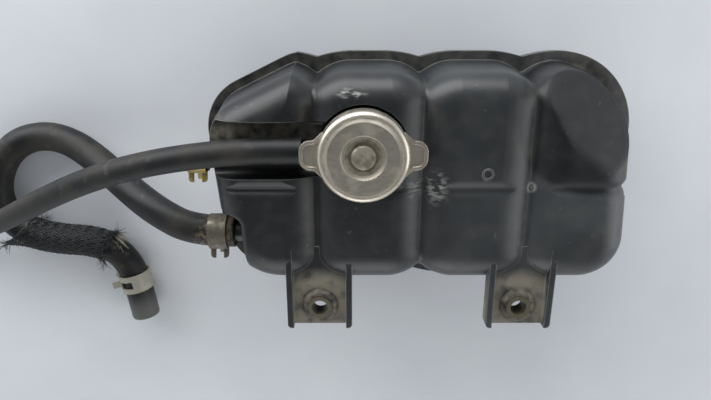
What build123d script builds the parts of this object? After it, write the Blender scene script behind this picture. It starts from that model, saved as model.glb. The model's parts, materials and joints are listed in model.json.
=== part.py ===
"""Coolant expansion tank of a car: two lobed plastic halves welded at a flange, a bayonet pressure
cap with its two relief valves, two bracket legs with bushed bolt sleeves, and two moulded hoses.

Millimetres. X runs along the tank, +Y away from the bracket legs, +Z up along the cap's axis. The
tank lies on the flat bottoms of its lower lobes, and the origin is under the middle of its box.
"""

import os
from math import atan, cos, radians, sin, tan

from build123d import *

# Tank halves
FLANGE_LENGTH = 258.0
FLANGE_WIDTH = 142.0
FLANGE_LIP = 5.0
FLANGE_THICKNESS = 3.0
SEAM_BEAD = 0.8
SEAM_INSET = 1.0
LOBE_FRONT_INSET = 5.5
LOBE_RIGHT_SLANT = 10.0
UPPER_DEPTH = 50.0
LOWER_DEPTH = 46.0
WALL = 3.0
DRAFT = 6.0
UPPER_EDGE_ROUND = 17.0
LOWER_EDGE_ROUND = 14.0

# Plan corners of the weld flange
LEFT_SLANT = 10.0
SHOULDER_LENGTH = 56.0
SHOULDER_DROP = 27.0
CORNER_FRONT_LEFT = 42.0
CORNER_FRONT_RIGHT = 34.0
CORNER_REAR_RIGHT = 48.0
CORNER_SHOULDER = 40.0
CORNER_LEFT = 32.0

# Lobes and the grooves between them
LOBE_PITCH = 60.0
GROOVE_DEPTH = 7.0
GROOVE_HALF_WIDTH = 20.0
GROOVE_BOTTOM_RADIUS = 2.5
ROW_GROOVE_DEPTH = 2.0
ROW_GROOVE_HALF_WIDTH = 6.5
WAIST_DEPTH = 3.2
WAIST_HALF_WIDTH = 22.0
GROOVE_OVERLAP = 0.06
CUT_CLEAR = 8.0

# Slanted facet on the lobe at the rear right
FACET_X = 77.0
FACET_Y = 20.0
FACET_TURN = 35.0
FACET_SLOPE = 36.0
FACET_ROUND = 26.0

# Corner cut away for the feed nozzle
STEP_WALL_X = 102.0
STEP_EDGE_Y = 17.0
STEP_SLANT = 5.0
STEP_INNER_ROUND = 5.0
STEP_ROUND = 4.0

# Filler neck and its pocket
NECK_X = -33.4
NECK_Y = 21.8
CAP_PROUD = 15.0
NECK_BORE = 29.0
NECK_WALL = 3.0
NECK_SEAT_BORE = 21.0
NECK_SEAT_THICKNESS = 3.0
NECK_DEPTH = 16.5
NECK_COLLAR = 2.0
CAM_FLANGE_OD = 41.0
CAM_FLANGE_THICKNESS = 2.2
CAM_NOTCH_HALF_ANGLE = 17.0
POCKET_RADIUS = 25.0
POCKET_DEPTH = 17.0

# Hose channel from the left end to the neck
CHANNEL_WIDTH = 31.0
CHANNEL_DEPTH = 13.0
CHANNEL_ROUND = 5.0

# Vent nipple, feed nozzle and spare nipple
VENT_DROP = 16.5
VENT_HOSE_OD = 14.5
VENT_HOSE_BORE = 8.6
VENT_NIPPLE_BORE = 5.0
VENT_HOSE_START = 32.5
VENT_NIPPLE_ENGAGED = 18.0
FEED_HOSE_OD = 19.5
FEED_HOSE_BORE = 12.5
FEED_NOZZLE_BORE = 8.5
FEED_NOZZLE_Y = -36.5
FEED_NOZZLE_RISE = 17.0
FEED_NOZZLE_ENGAGED = 15.0
FEED_HOSE_STANDOFF = 9.5
NIPPLE_BEAD = 0.9
HOSE_CLEARANCE = 0.12
SPARE_Y = 9.5
SPARE_RISE = 17.0
SPARE_PLUG_OD = 14.0
SPARE_PLUG_BORE = 8.6
SPARE_PLUG_LENGTH = 19.0
SPARE_PLUG_END = 3.0
SPARE_NIPPLE_LENGTH = 15.0
SPARE_PLUG_STANDOFF = 1.5

# Small moulded ring beside the neck
GATE_X = 33.9
GATE_Y = 9.3
GATE_RADIUS = 3.2
GATE_BORE_RADIUS = 2.2
GATE_HEIGHT = 0.6

# Bracket legs
LEG_SPACING = 117.0
LEG_WIDTH = 38.0
LEG_PROUD = 14.5
LEG_FLANGE = 3.6
LEG_WEB = 3.2
LEG_CHANNEL_DEPTH = 9.0
LEG_DROP = 0.5
LEG_CORNER = 2.5
BUSH_FROM_TIP = 12.6
GROMMET_OD = 21.0
GROMMET_NECK_OD = 17.0
GROMMET_LIP = 2.6
SLEEVE_BORE = 9.3
SLEEVE_WALL = 1.2
SLEEVE_HEAD_OD = 14.0
SLEEVE_HEAD = 1.2
BUSH_CLEARANCE = 0.1

# Pressure cap
CROWN_OD = 48.0
CROWN_HEIGHT = 11.0
CROWN_SHEET = 1.0
CROWN_ROUND = 3.0
CROWN_BEAD = 0.8
CROWN_BEAD_WIDTH = 2.4
DISH_RADIUS = 11.6
DISH_DEPTH = 2.5
DISH_SLOPE = 1.6
EAR_SPAN = 67.0
EAR_ROOT_WIDTH = 25.0
EAR_NECK = 2.0
EAR_NECK_ROUND = 3.0
EAR_TIP_WIDTH = 15.5
EAR_TIP_ROUND = 5.8
EAR_SHEET = 1.4
EAR_HEIGHT = 2.6
EAR_RIM = 1.8
EAR_RIM_HEIGHT = 1.0
TONGUE_REACH = 2.7
TONGUE_HALF_ANGLE = 13.0
TONGUE_SHEET = 1.2
TONGUE_GAP = 0.5
RIVET_HEAD_RADIUS = 6.5
RIVET_HEAD = 1.5
RIVET_SHANK_RADIUS = 2.5
RIVET_TAIL_RADIUS = 4.0
RIVET_TAIL = 1.0
DIAPHRAGM_SHEET = 0.5
DIAPHRAGM_RADIUS = 20.0
TOP_SEAL_THICKNESS = 1.4
TOP_SEAL_OD = 38.0
BELL_SHEET = 0.6
BELL_RADIUS = 13.7
BELL_HEIGHT = 11.5
PLATE_SHEET = 0.8
PLATE_RIM = 3.5
SEAL_THICKNESS = 2.0
SEAL_OUTER_RADIUS = 12.8
SEAL_INNER_RADIUS = 4.5
PRESSURE_WIRE = 1.6
PRESSURE_COIL_RADIUS = 9.0
PRESSURE_TURNS = 4.0
VACUUM_DISC_RADIUS = 6.5
VACUUM_DISC = 1.0
VACUUM_STEM_RADIUS = 1.4
VACUUM_STEM_RISE = 5.0
VACUUM_HEAD_RADIUS = 3.2
VACUUM_HEAD = 0.8
VACUUM_WIRE = 0.5
VACUUM_COIL_RADIUS = 2.5
VACUUM_TURNS = 5.0
WIRE_FACETS = 6
CAP_CLEARANCE = 0.3
TOUCH = 0.05

# Spring band clamps and the braided sleeve
CLAMP_SHEET = 1.3
CLAMP_WIDTH = 11.0
END_CLAMP_WIDTH = 13.0
CLAMP_TAB = 5.5
CLAMP_TAB_SHARE = 0.45
CLAMP_TAB_ANGLE = 17.0
CLAMP_WINDOW_SHARE = 0.42
CLAMP_WINDOW_ANGLE = -160.0
NOZZLE_CLAMP_INSET = 10.0
BRAID_WALL = 1.2
BRAID_CLEARANCE = 0.3

# Route of the vent hose after its nipple, from the tank's middle and the floor
VENT_ROUTE = [
    (-96.0, 21.8, 94.5),
    (-120.0, 19.4, 94.0),
    (-144.0, 15.4, 91.2),
    (-168.0, 9.0, 85.5),
    (-194.0, -0.4, 77.0),
    (-220.0, -12.2, 66.5),
    (-246.0, -25.4, 55.0),
    (-271.0, -38.4, 41.5),
    (-295.0, -50.0, 27.0),
    (-316.0, -59.2, 13.8),
    (-334.0, -64.0, 7.6),
    (-356.0, -64.0, 7.6),
]

# Route of the feed hose after its nozzle
FEED_ROUTE = [
    (-137.0, -36.5, 63.0),
    (-161.0, -29.0, 52.0),
    (-180.0, -20.5, 40.0),
    (-196.0, -11.7, 29.2),
    (-212.0, -1.4, 19.5),
    (-232.0, 9.6, 12.0),
    (-252.0, 13.0, 10.0),
    (-271.0, 6.5, 10.0),
    (-285.0, -9.5, 10.2),
    (-290.5, -30.0, 10.8),
    (-284.0, -48.0, 11.6),
    (-268.0, -59.0, 11.9),
    (-248.0, -63.0, 11.9),
    (-228.0, -64.0, 11.9),
    (-211.0, -70.5, 11.9),
    (-201.5, -84.5, 11.9),
    (-197.8, -104.0, 11.9),
    (-195.5, -124.0, 11.9),
]
BRAIDED_POINTS = range(12, 16)
BRAID_RUN_SHARE = 0.5
END_CLAMP_RUN_SHARE = 0.55
ROUTE_ARC_SHARE = 0.45

# Heights above the floor
SEAM_Z = LOWER_DEPTH
TOP_Z = SEAM_Z + UPPER_DEPTH
CROWN_TOP_Z = TOP_Z + CAP_PROUD
DISH_UNDER_Z = CROWN_TOP_Z - DISH_DEPTH - CROWN_SHEET
DIAPHRAGM_TOP_Z = CROWN_TOP_Z - CROWN_SHEET - CAP_CLEARANCE
TOP_SEAL_TOP_Z = DIAPHRAGM_TOP_Z - DIAPHRAGM_SHEET
RIM_Z = TOP_SEAL_TOP_Z - TOP_SEAL_THICKNESS - CAP_CLEARANCE
BELL_TOP_Z = DISH_UNDER_Z - CAP_CLEARANCE - DIAPHRAGM_SHEET
SEAT_Z = RIM_Z - NECK_DEPTH
PLATE_TOP_Z = SEAT_Z + CAP_CLEARANCE + SEAL_THICKNESS + PLATE_SHEET
VENT_Z = CROWN_TOP_Z - VENT_DROP
FEED_Z = SEAM_Z + FEED_NOZZLE_RISE
SPARE_Z = SEAM_Z + SPARE_RISE
LEG_TOP_Z = TOP_Z - LEG_DROP
LEG_UNDER_Z = LEG_TOP_Z - LEG_CHANNEL_DEPTH
NECK_OUTER_RADIUS = NECK_BORE / 2 + NECK_WALL
EDGE_STOCK = UPPER_EDGE_ROUND / 2
LEG_REACH = FLANGE_WIDTH / 2 + LEG_PROUD
BUSH_Y = BUSH_FROM_TIP - LEG_REACH

# The box's middle, taken from the flange, the legs and the spare plug
SPARE_WALL_X = -FLANGE_LENGTH / 2 + FLANGE_LIP
SPARE_PLUG_TIP_X = SPARE_WALL_X - SPARE_PLUG_STANDOFF - SPARE_PLUG_LENGTH
MIDDLE_X = (FLANGE_LENGTH / 2 + SPARE_PLUG_TIP_X) / 2
MIDDLE_Y = (FLANGE_WIDTH / 2 - LEG_REACH) / 2


def bell_face(depth, half_width, bottom_radius):
    """Groove section: a round bottom between two shoulders that run out flat; +Y goes into the wall."""
    drop = depth + GROOVE_OVERLAP
    angle = 2 * atan(drop / half_width)
    shoulder = half_width / sin(angle) - bottom_radius
    turn_x = bottom_radius * sin(angle)
    turn_y = depth - bottom_radius * (1 - cos(angle))
    mid_x = half_width - shoulder * sin(angle / 2)
    mid_y = shoulder * (1 - cos(angle / 2)) - GROOVE_OVERLAP
    outline = [
        ThreePointArc((-half_width, -GROOVE_OVERLAP), (-mid_x, mid_y), (-turn_x, turn_y)),
        ThreePointArc((-turn_x, turn_y), (0, depth), (turn_x, turn_y)),
        ThreePointArc((turn_x, turn_y), (mid_x, mid_y), (half_width, -GROOVE_OVERLAP)),
        Polyline(
            (half_width, -GROOVE_OVERLAP),
            (half_width, -CUT_CLEAR),
            (-half_width, -CUT_CLEAR),
            (-half_width, -GROOVE_OVERLAP),
        ),
    ]
    return make_face(Curve() + outline)


def tank_plan(front_inset, right_slant):
    """Plan of the tank with rounded corners, its front drawn in and its right end slanted."""
    half_x = FLANGE_LENGTH / 2
    half_y = FLANGE_WIDTH / 2
    corners = [
        (-half_x + LEFT_SLANT, -half_y + front_inset),
        (half_x, -half_y + front_inset),
        (half_x - right_slant, half_y),
        (-half_x + SHOULDER_LENGTH, half_y),
        (-half_x, half_y - SHOULDER_DROP),
    ]
    radii = [
        CORNER_FRONT_LEFT,
        CORNER_FRONT_RIGHT,
        CORNER_REAR_RIGHT,
        CORNER_SHOULDER,
        CORNER_LEFT,
    ]
    return make_face(FilletPolyline(*corners, radius=radii, close=True))


def flange_plan():
    """Plan of the weld flange before its waists are cut."""
    return tank_plan(0, 0)


def lobe_plan():
    """Plan that the lobes are drawn in from."""
    return tank_plan(LOBE_FRONT_INSET, LOBE_RIGHT_SLANT)


def step_cutter(grow):
    """Cutter for the corner that makes room for the nozzle; grow leaves a wall inside it."""
    wall_x = -STEP_WALL_X + grow
    edge_y = -STEP_EDGE_Y + grow
    far_x = -FLANGE_LENGTH
    far_y = -FLANGE_WIDTH
    plan = make_face(
        FilletPolyline(
            (far_x, edge_y),
            (wall_x, edge_y),
            (wall_x + STEP_SLANT, far_y),
            (far_x, far_y),
            radius=[0, STEP_INNER_ROUND + grow, 0, 0],
            close=True,
        )
    )
    return extrude(plan, 2 * UPPER_DEPTH, both=True)


def rounded_step(body):
    """Rounds the edge where the nozzle's corner was cut out of the lobes."""
    walls = [
        face
        for face in body.faces()
        if face.center().X < -STEP_WALL_X + STEP_SLANT
        and face.center().Y < -STEP_EDGE_Y + STEP_ROUND
        and abs(face.normal_at().Z) < TOUCH
    ]
    rims = {}
    for wall in walls:
        for edge in wall.edges():
            middle = edge.position_at(0.5)
            key = (round(middle.X, 2), round(middle.Y, 2), round(middle.Z, 2))
            rims.setdefault(key, []).append(edge)
    edges = [shared[0] for key, shared in rims.items() if len(shared) == 1 and key[2] > TOUCH]
    return fillet(edges, STEP_ROUND)


def waisted_plan(inset):
    """Plan of the weld flange, waisted where the grooves reach it, drawn in by an inset."""
    plan = offset(flange_plan(), -inset) if inset else flange_plan()
    waist = bell_face(WAIST_DEPTH, WAIST_HALF_WIDTH, GROOVE_BOTTOM_RADIUS)
    edge_y = FLANGE_WIDTH / 2 - inset
    for column in (-1, 0, 1):
        for side in (-1, 1):
            turn = 0 if side < 0 else 180
            plan -= Pos(column * LOBE_PITCH, side * edge_y) * Rot(0, 0, turn) * waist
    return plan


def weld_flange():
    """One half's flange: a lip, and under it the narrower bead that is welded at the seam."""
    bead = extrude(waisted_plan(SEAM_INSET), SEAM_BEAD)
    lip = extrude(waisted_plan(0), FLANGE_THICKNESS - SEAM_BEAD)
    return bead + Pos(0, 0, SEAM_BEAD) * lip


def groove(start, top_start, top_end, end, edge_round, section):
    """Cutter swept up one wall, over the lobes and down the other wall."""
    path = FilletPolyline(start, top_start, top_end, end, radius=edge_round)
    across = Vector(1, 0, 0) if abs(start[0] - end[0]) < TOUCH else Vector(0, -1, 0)
    return sweep(Plane(path @ 0, x_dir=across, z_dir=path % 0) * section, path)


def drafted_block(depth, edge_round, inset):
    """A half's body on its seam plane, growing up, with drafted walls and rounded edges."""
    block = extrude(offset(lobe_plan(), -FLANGE_LIP - inset), depth - inset, taper=DRAFT)
    return fillet(block.faces().sort_by(Axis.Z)[-1].edges(), edge_round - inset)


def grooved(block, depth, edge_round, inset):
    """A half's body with the grooves that part its lobes."""
    height = depth - inset
    lip = FLANGE_LIP + inset
    rounding = edge_round - inset
    lean = height * tan(radians(DRAFT))
    below = CUT_CLEAR * tan(radians(DRAFT))
    left = FLANGE_LENGTH / 2 - lip
    right = FLANGE_LENGTH / 2 - LOBE_RIGHT_SLANT / 2 - lip
    front = FLANGE_WIDTH / 2 - LOBE_FRONT_INSET - lip
    rear = FLANGE_WIDTH / 2 - lip
    column_section = bell_face(GROOVE_DEPTH, GROOVE_HALF_WIDTH, GROOVE_BOTTOM_RADIUS)
    for column in (-1, 0, 1):
        x = column * LOBE_PITCH
        block -= groove(
            (x, -front - below, -CUT_CLEAR),
            (x, -front + lean, height),
            (x, rear - lean, height),
            (x, rear + below, -CUT_CLEAR),
            rounding,
            column_section,
        )
    block -= groove(
        (-left - below, 0, -CUT_CLEAR),
        (-left + lean, 0, height),
        (right - lean, 0, height),
        (right + below, 0, -CUT_CLEAR),
        rounding,
        bell_face(ROW_GROOVE_DEPTH, ROW_GROOVE_HALF_WIDTH, GROOVE_BOTTOM_RADIUS),
    )
    return block


def facet_cutter(inset):
    """Cutter for the slanted facet: its section leaves the lobe's face in a round, then falls away."""
    slope = radians(FACET_SLOPE)
    round_x = FACET_ROUND * sin(slope)
    round_z = -FACET_ROUND * (1 - cos(slope))
    half_x = FACET_ROUND * sin(slope / 2)
    half_z = -FACET_ROUND * (1 - cos(slope / 2))
    run = FLANGE_WIDTH
    section = make_face(
        Curve()
        + [
            ThreePointArc((0, 0), (half_x, half_z), (round_x, round_z)),
            Polyline(
                (round_x, round_z),
                (round_x + run, round_z - run * tan(slope)),
                (round_x + run, CUT_CLEAR),
                (0, CUT_CLEAR),
                (0, 0),
            ),
        ]
    )
    prism = extrude(Plane.XZ * section, FLANGE_LENGTH, both=True)
    top = UPPER_DEPTH - inset + GROOVE_OVERLAP
    return Pos(FACET_X, FACET_Y, top) * Rot(0, 0, 90 - FACET_TURN) * prism


def channel_cutter(grow):
    """Cutter for the hose channel and the pocket round the neck; grow leaves a wall under it."""
    width = CHANNEL_WIDTH + 2 * grow
    height = CHANNEL_DEPTH + CUT_CLEAR
    length = NECK_X + FLANGE_LENGTH / 2 + CUT_CLEAR
    floor_z = UPPER_DEPTH - CHANNEL_DEPTH - grow
    section = RectangleRounded(width, 2 * height, CHANNEL_ROUND + grow)
    tunnel = extrude(Plane.YZ * section, length)
    channel = Pos(NECK_X - length, NECK_Y, floor_z + height) * tunnel
    pocket_floor = UPPER_DEPTH - POCKET_DEPTH - grow
    pocket = Cylinder(
        POCKET_RADIUS + grow,
        POCKET_DEPTH + grow + CUT_CLEAR,
        align=(Align.CENTER, Align.CENTER, Align.MIN),
    )
    pocket = fillet(pocket.faces().sort_by(Axis.Z)[0].edges(), CHANNEL_ROUND)
    return channel + Pos(NECK_X, NECK_Y, pocket_floor) * pocket


def bracket_leg(x):
    """Open channel that stands out of the front wall: a web between two flanges."""
    reach = LEG_REACH - FLANGE_WIDTH / 4
    plan = Pos(x, -LEG_REACH + reach / 2) * Rectangle(LEG_WIDTH, reach)
    outer = extrude(plan, LEG_CHANNEL_DEPTH)
    outer = fillet(outer.edges().filter_by(Axis.Z).group_by(Axis.Y)[0], LEG_CORNER)
    inner_plan = Pos(x, -LEG_REACH + reach / 2) * Rectangle(LEG_WIDTH - 2 * LEG_FLANGE, reach + TOUCH)
    leg = outer - Pos(0, 0, LEG_WEB) * extrude(inner_plan, LEG_CHANNEL_DEPTH)
    hole_radius = GROMMET_NECK_OD / 2 + BUSH_CLEARANCE
    leg -= Pos(x, BUSH_Y, 0) * Cylinder(hole_radius, 4 * LEG_WEB)
    return Pos(0, 0, LEG_UNDER_Z - SEAM_Z) * leg


def nipple(length, outer_radius):
    """Hose nipple along -X from the origin, with a bead at its tip."""
    bead = outer_radius * NIPPLE_BEAD
    profile = Polyline(
        (0, 0),
        (0, outer_radius),
        (-length + outer_radius, outer_radius),
        (-length, bead),
        (-length, 0),
        close=True,
    )
    return revolve(make_face(profile), Axis.X)


def along_x(radius, start_x, end_x):
    """Round bar along X between two stations."""
    bar = Cylinder(radius, abs(end_x - start_x), rotation=(0, 90, 0))
    return Pos((start_x + end_x) / 2, 0, 0) * bar


def neck_body():
    """Outside of the filler neck, with the cam flange that the cap's tongues pass under."""
    base = UPPER_DEPTH - POCKET_DEPTH - WALL - NECK_COLLAR
    rim = RIM_Z - SEAM_Z
    tube = Pos(0, 0, base) * Cylinder(
        NECK_OUTER_RADIUS, rim - base, align=(Align.CENTER, Align.CENTER, Align.MIN)
    )
    tube += Pos(0, 0, base) * Cylinder(
        NECK_OUTER_RADIUS + NECK_COLLAR, NECK_COLLAR - TOUCH, align=(Align.CENTER, Align.CENTER, Align.MIN)
    )
    flange = Pos(0, 0, rim - CAM_FLANGE_THICKNESS) * Cylinder(
        CAM_FLANGE_OD / 2, CAM_FLANGE_THICKNESS, align=(Align.CENTER, Align.CENTER, Align.MIN)
    )
    notch_depth = CROWN_OD / 2
    half_width = notch_depth * tan(radians(CAM_NOTCH_HALF_ANGLE))
    notch = make_face(
        Polyline((0, 0), (half_width, notch_depth), (-half_width, notch_depth), close=True)
    )
    wedge = extrude(notch, UPPER_DEPTH + RIM_Z)
    keep = Cylinder(NECK_OUTER_RADIUS, 4 * RIM_Z)
    for turn in (0, 180):
        flange -= Rot(0, 0, turn) * wedge - keep
    return Pos(NECK_X, NECK_Y, 0) * (tube + flange)


def neck_passage():
    """Inside of the neck: wide bore down to the seat, then the seat's smaller bore."""
    rim = RIM_Z - SEAM_Z
    seat = SEAT_Z - SEAM_Z
    wide = Pos(0, 0, seat) * Cylinder(
        NECK_BORE / 2, rim - seat + CUT_CLEAR, align=(Align.CENTER, Align.CENTER, Align.MIN)
    )
    below = seat - NECK_SEAT_THICKNESS
    lower = Cylinder(NECK_SEAT_BORE / 2, seat + TOUCH, align=(Align.CENTER, Align.CENTER, Align.MIN))
    relief = Cylinder(NECK_BORE / 2, below, align=(Align.CENTER, Align.CENTER, Align.MIN))
    return Pos(NECK_X, NECK_Y, 0) * (wide + lower + relief)


def filler_neck():
    """Neck insert: cap seat, bayonet flange, vent nipple, and a collar under the pocket's floor."""
    vent_tip = VENT_HOSE_START + VENT_NIPPLE_ENGAGED
    vent_radius = VENT_HOSE_BORE / 2 - HOSE_CLEARANCE
    vent_at = Pos(NECK_X, NECK_Y, VENT_Z - SEAM_Z)
    neck = neck_body() + vent_at * nipple(vent_tip, vent_radius) - neck_passage()
    neck -= vent_at * along_x(VENT_NIPPLE_BORE / 2, -NECK_BORE / 2 + WALL, -vent_tip - CUT_CLEAR)
    return Pos(0, 0, SEAM_Z) * neck


def upper_shell():
    """Upper half: lobed shell with flange, spare nipple, nozzle and bracket legs in one moulding."""
    half = (UPPER_DEPTH, UPPER_EDGE_ROUND)
    body = rounded_step(drafted_block(*half, 0) - step_cutter(0))
    body = grooved(body, *half, 0) - facet_cutter(0) - channel_cutter(0)
    cavity = grooved(drafted_block(*half, WALL), *half, WALL)
    cavity -= facet_cutter(WALL)
    cavity -= step_cutter(WALL)
    cavity -= channel_cutter(WALL)
    gate = Cylinder(GATE_RADIUS, 2 * GATE_HEIGHT) - Cylinder(GATE_BORE_RADIUS, 2 * GATE_HEIGHT)
    body += Pos(GATE_X, GATE_Y, UPPER_DEPTH) * gate
    for side in (-1, 1):
        body += bracket_leg(side * LEG_SPACING / 2)
    body += weld_flange()
    feed_radius = FEED_HOSE_BORE / 2 - HOSE_CLEARANCE
    feed_length = FEED_HOSE_STANDOFF + FEED_NOZZLE_ENGAGED + 2 * WALL
    feed_at = Pos(-STEP_WALL_X + 2 * WALL, FEED_NOZZLE_Y, FEED_Z - SEAM_Z)
    body += feed_at * nipple(feed_length, feed_radius)
    spare_radius = SPARE_PLUG_BORE / 2 - HOSE_CLEARANCE
    spare_length = SPARE_NIPPLE_LENGTH + 2 * EDGE_STOCK
    spare_at = Pos(SPARE_WALL_X + 2 * EDGE_STOCK, SPARE_Y, SPARE_Z - SEAM_Z)
    body += spare_at * nipple(spare_length, spare_radius)
    shell = body - cavity
    shell -= Pos(NECK_X, NECK_Y, 0) * Cylinder(NECK_OUTER_RADIUS + TOUCH, 2 * UPPER_DEPTH)
    shell -= feed_at * along_x(FEED_NOZZLE_BORE / 2, 2 * WALL, -feed_length - CUT_CLEAR)
    shell -= spare_at * along_x(VENT_NIPPLE_BORE / 2, 2 * WALL, -spare_length - CUT_CLEAR)
    return Pos(0, 0, SEAM_Z) * shell


def lower_shell():
    """Lower half: lobed tray with the other flange, turned over onto its flat lobe bottoms."""
    half = (LOWER_DEPTH, LOWER_EDGE_ROUND)
    body = grooved(drafted_block(*half, 0), *half, 0) + weld_flange()
    cavity = grooved(drafted_block(*half, WALL), *half, WALL)
    return Pos(0, 0, SEAM_Z) * mirror(body - cavity, about=Plane.XY)


def turned(points, axis_x, axis_y):
    """Revolves a closed outline of radius and height about a vertical axis."""
    profile = make_face(Plane.XZ * Polyline(*points, close=True))
    return Pos(axis_x, axis_y, 0) * revolve(profile, Axis.Z)


def cap_part(points):
    """A turned piece of the cap, on the neck's axis."""
    return turned(points, NECK_X, NECK_Y)


def ring_sector(inner, outer, bottom, top, half_angle):
    """Piece of a ring about Z, centred on +Y."""
    reach = 2 * outer
    half_width = reach * tan(radians(half_angle))
    wedge = extrude(
        make_face(Polyline((0, 0), (half_width, reach), (-half_width, reach), close=True)), top - bottom
    )
    up = (Align.CENTER, Align.CENTER, Align.MIN)
    ring = Cylinder(outer, top - bottom, align=up) - Cylinder(inner, top - bottom, align=up)
    return Pos(0, 0, bottom) * (ring & wedge)


def cap_ear():
    """One finger ear of the crown, a plate with a raised edge, along +X."""
    root_x = CROWN_OD / 2 - CROWN_ROUND
    neck_x = CROWN_OD / 2 + EAR_NECK
    tip_x = EAR_SPAN / 2
    outline = [
        (root_x, -EAR_ROOT_WIDTH / 2),
        (neck_x, -EAR_TIP_WIDTH / 2),
        (tip_x, -EAR_TIP_WIDTH / 2),
        (tip_x, EAR_TIP_WIDTH / 2),
        (neck_x, EAR_TIP_WIDTH / 2),
        (root_x, EAR_ROOT_WIDTH / 2),
    ]
    rounds = [0, EAR_NECK_ROUND, EAR_TIP_ROUND, EAR_TIP_ROUND, EAR_NECK_ROUND, 0]
    plan = make_face(FilletPolyline(*outline, radius=rounds, close=True))
    plate = extrude(plan, EAR_SHEET + EAR_RIM_HEIGHT)
    hollow = Pos(0, 0, EAR_SHEET) * extrude(offset(plan, -EAR_RIM), EAR_RIM_HEIGHT)
    return plate - hollow


def cap_crown():
    """Pressed crown: dished top, rounded skirt, two ears and two bayonet tongues."""
    outer = CROWN_OD / 2
    inner = outer - CROWN_SHEET
    top = CROWN_TOP_Z
    under = top - CROWN_SHEET
    foot = top - CROWN_HEIGHT
    hole = RIVET_SHANK_RADIUS + CAP_CLEARANCE
    dish_floor = DISH_RADIUS - DISH_SLOPE
    half_sheet = CROWN_SHEET / 2
    bend = outer - CROWN_ROUND
    bend_z = top - CROWN_ROUND
    bead = top + CROWN_BEAD
    bead_foot = bend - CROWN_BEAD_WIDTH
    bead_bend_z = bead - CROWN_ROUND
    dish_z = DISH_UNDER_Z + CROWN_SHEET
    chord = CROWN_ROUND * sin(radians(45))
    inner_chord = (CROWN_ROUND - CROWN_SHEET) * sin(radians(45))
    face = Polyline((hole, dish_z), (dish_floor, dish_z), (DISH_RADIUS, top), (bead_foot, top), (bend, bead))
    shoulder = ThreePointArc((bend, bead), (bend + chord, bead_bend_z + chord), (outer, bead_bend_z))
    skirt = Polyline((outer, bead_bend_z), (outer, foot), (inner, foot), (inner, bend_z))
    inside = ThreePointArc((inner, bend_z), (bend + inner_chord, bend_z + inner_chord), (bend, under))
    underside = Polyline(
        (bend, under),
        (DISH_RADIUS + half_sheet, under),
        (dish_floor + half_sheet, DISH_UNDER_Z),
        (hole, DISH_UNDER_Z),
        (hole, dish_z),
    )
    outline = Curve() + [face, shoulder, skirt, inside, underside]
    crown = revolve(make_face(Plane.XZ * outline), Axis.Z)
    tongue_top = RIM_Z - CAM_FLANGE_THICKNESS - TONGUE_GAP
    for turn in (0, 180):
        ear = Pos(0, 0, foot + EAR_HEIGHT) * cap_ear() - Cylinder(inner + half_sheet, 4 * top)
        crown += Rot(0, 0, turn) * ear
        crown += Rot(0, 0, turn) * ring_sector(
            inner - TONGUE_REACH, inner + half_sheet, tongue_top - TONGUE_SHEET, tongue_top, TONGUE_HALF_ANGLE
        )
    return Pos(NECK_X, NECK_Y, 0) * crown


def cap_rivet():
    """Centre rivet: head in the crown's dish, shank, and tail swaged under the bell."""
    head_z = DISH_UNDER_Z + CROWN_SHEET + CAP_CLEARANCE
    head_top = head_z + RIVET_HEAD
    edge = RIVET_HEAD / 2
    tail_z = BELL_TOP_Z - BELL_SHEET
    return cap_part([
        (0, head_top),
        (RIVET_HEAD_RADIUS - edge, head_top),
        (RIVET_HEAD_RADIUS, head_top - edge),
        (RIVET_HEAD_RADIUS, head_z),
        (RIVET_SHANK_RADIUS, head_z),
        (RIVET_SHANK_RADIUS, tail_z),
        (RIVET_TAIL_RADIUS, tail_z),
        (RIVET_TAIL_RADIUS - RIVET_TAIL / 2, tail_z - RIVET_TAIL),
        (0, tail_z - RIVET_TAIL),
    ])


def cap_diaphragm():
    """Dished spring disc under the crown that presses the top seal onto the neck's rim."""
    hole = RIVET_SHANK_RADIUS + TOUCH
    knee = DISH_RADIUS - DISH_SLOPE + CROWN_SHEET
    rise = DIAPHRAGM_TOP_Z - DISH_UNDER_Z + CAP_CLEARANCE
    low = DISH_UNDER_Z - CAP_CLEARANCE
    flat = knee + rise
    return cap_part([
        (hole, low),
        (knee, low),
        (flat, DIAPHRAGM_TOP_Z),
        (DIAPHRAGM_RADIUS, DIAPHRAGM_TOP_Z),
        (DIAPHRAGM_RADIUS, DIAPHRAGM_TOP_Z - DIAPHRAGM_SHEET),
        (flat, DIAPHRAGM_TOP_Z - DIAPHRAGM_SHEET),
        (knee, BELL_TOP_Z),
        (hole, BELL_TOP_Z),
    ])


def cap_top_seal():
    """Rubber ring between the diaphragm and the neck's rim."""
    bottom = TOP_SEAL_TOP_Z - TOP_SEAL_THICKNESS
    inner = NECK_BORE / 2 + CAP_CLEARANCE
    outer = TOP_SEAL_OD / 2
    return cap_part([(inner, bottom), (outer, bottom), (outer, TOP_SEAL_TOP_Z), (inner, TOP_SEAL_TOP_Z)])


def spring_bell():
    """Bell riveted under the crown: it holds the pressure spring and guides the valve plate."""
    hole = RIVET_SHANK_RADIUS + TOUCH
    inner = BELL_RADIUS - BELL_SHEET
    foot = BELL_TOP_Z - BELL_HEIGHT
    return cap_part([
        (hole, BELL_TOP_Z),
        (BELL_RADIUS - BELL_SHEET, BELL_TOP_Z),
        (BELL_RADIUS, BELL_TOP_Z - BELL_SHEET),
        (BELL_RADIUS, foot),
        (inner, foot),
        (inner, BELL_TOP_Z - BELL_SHEET),
        (hole, BELL_TOP_Z - BELL_SHEET),
    ])


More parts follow.
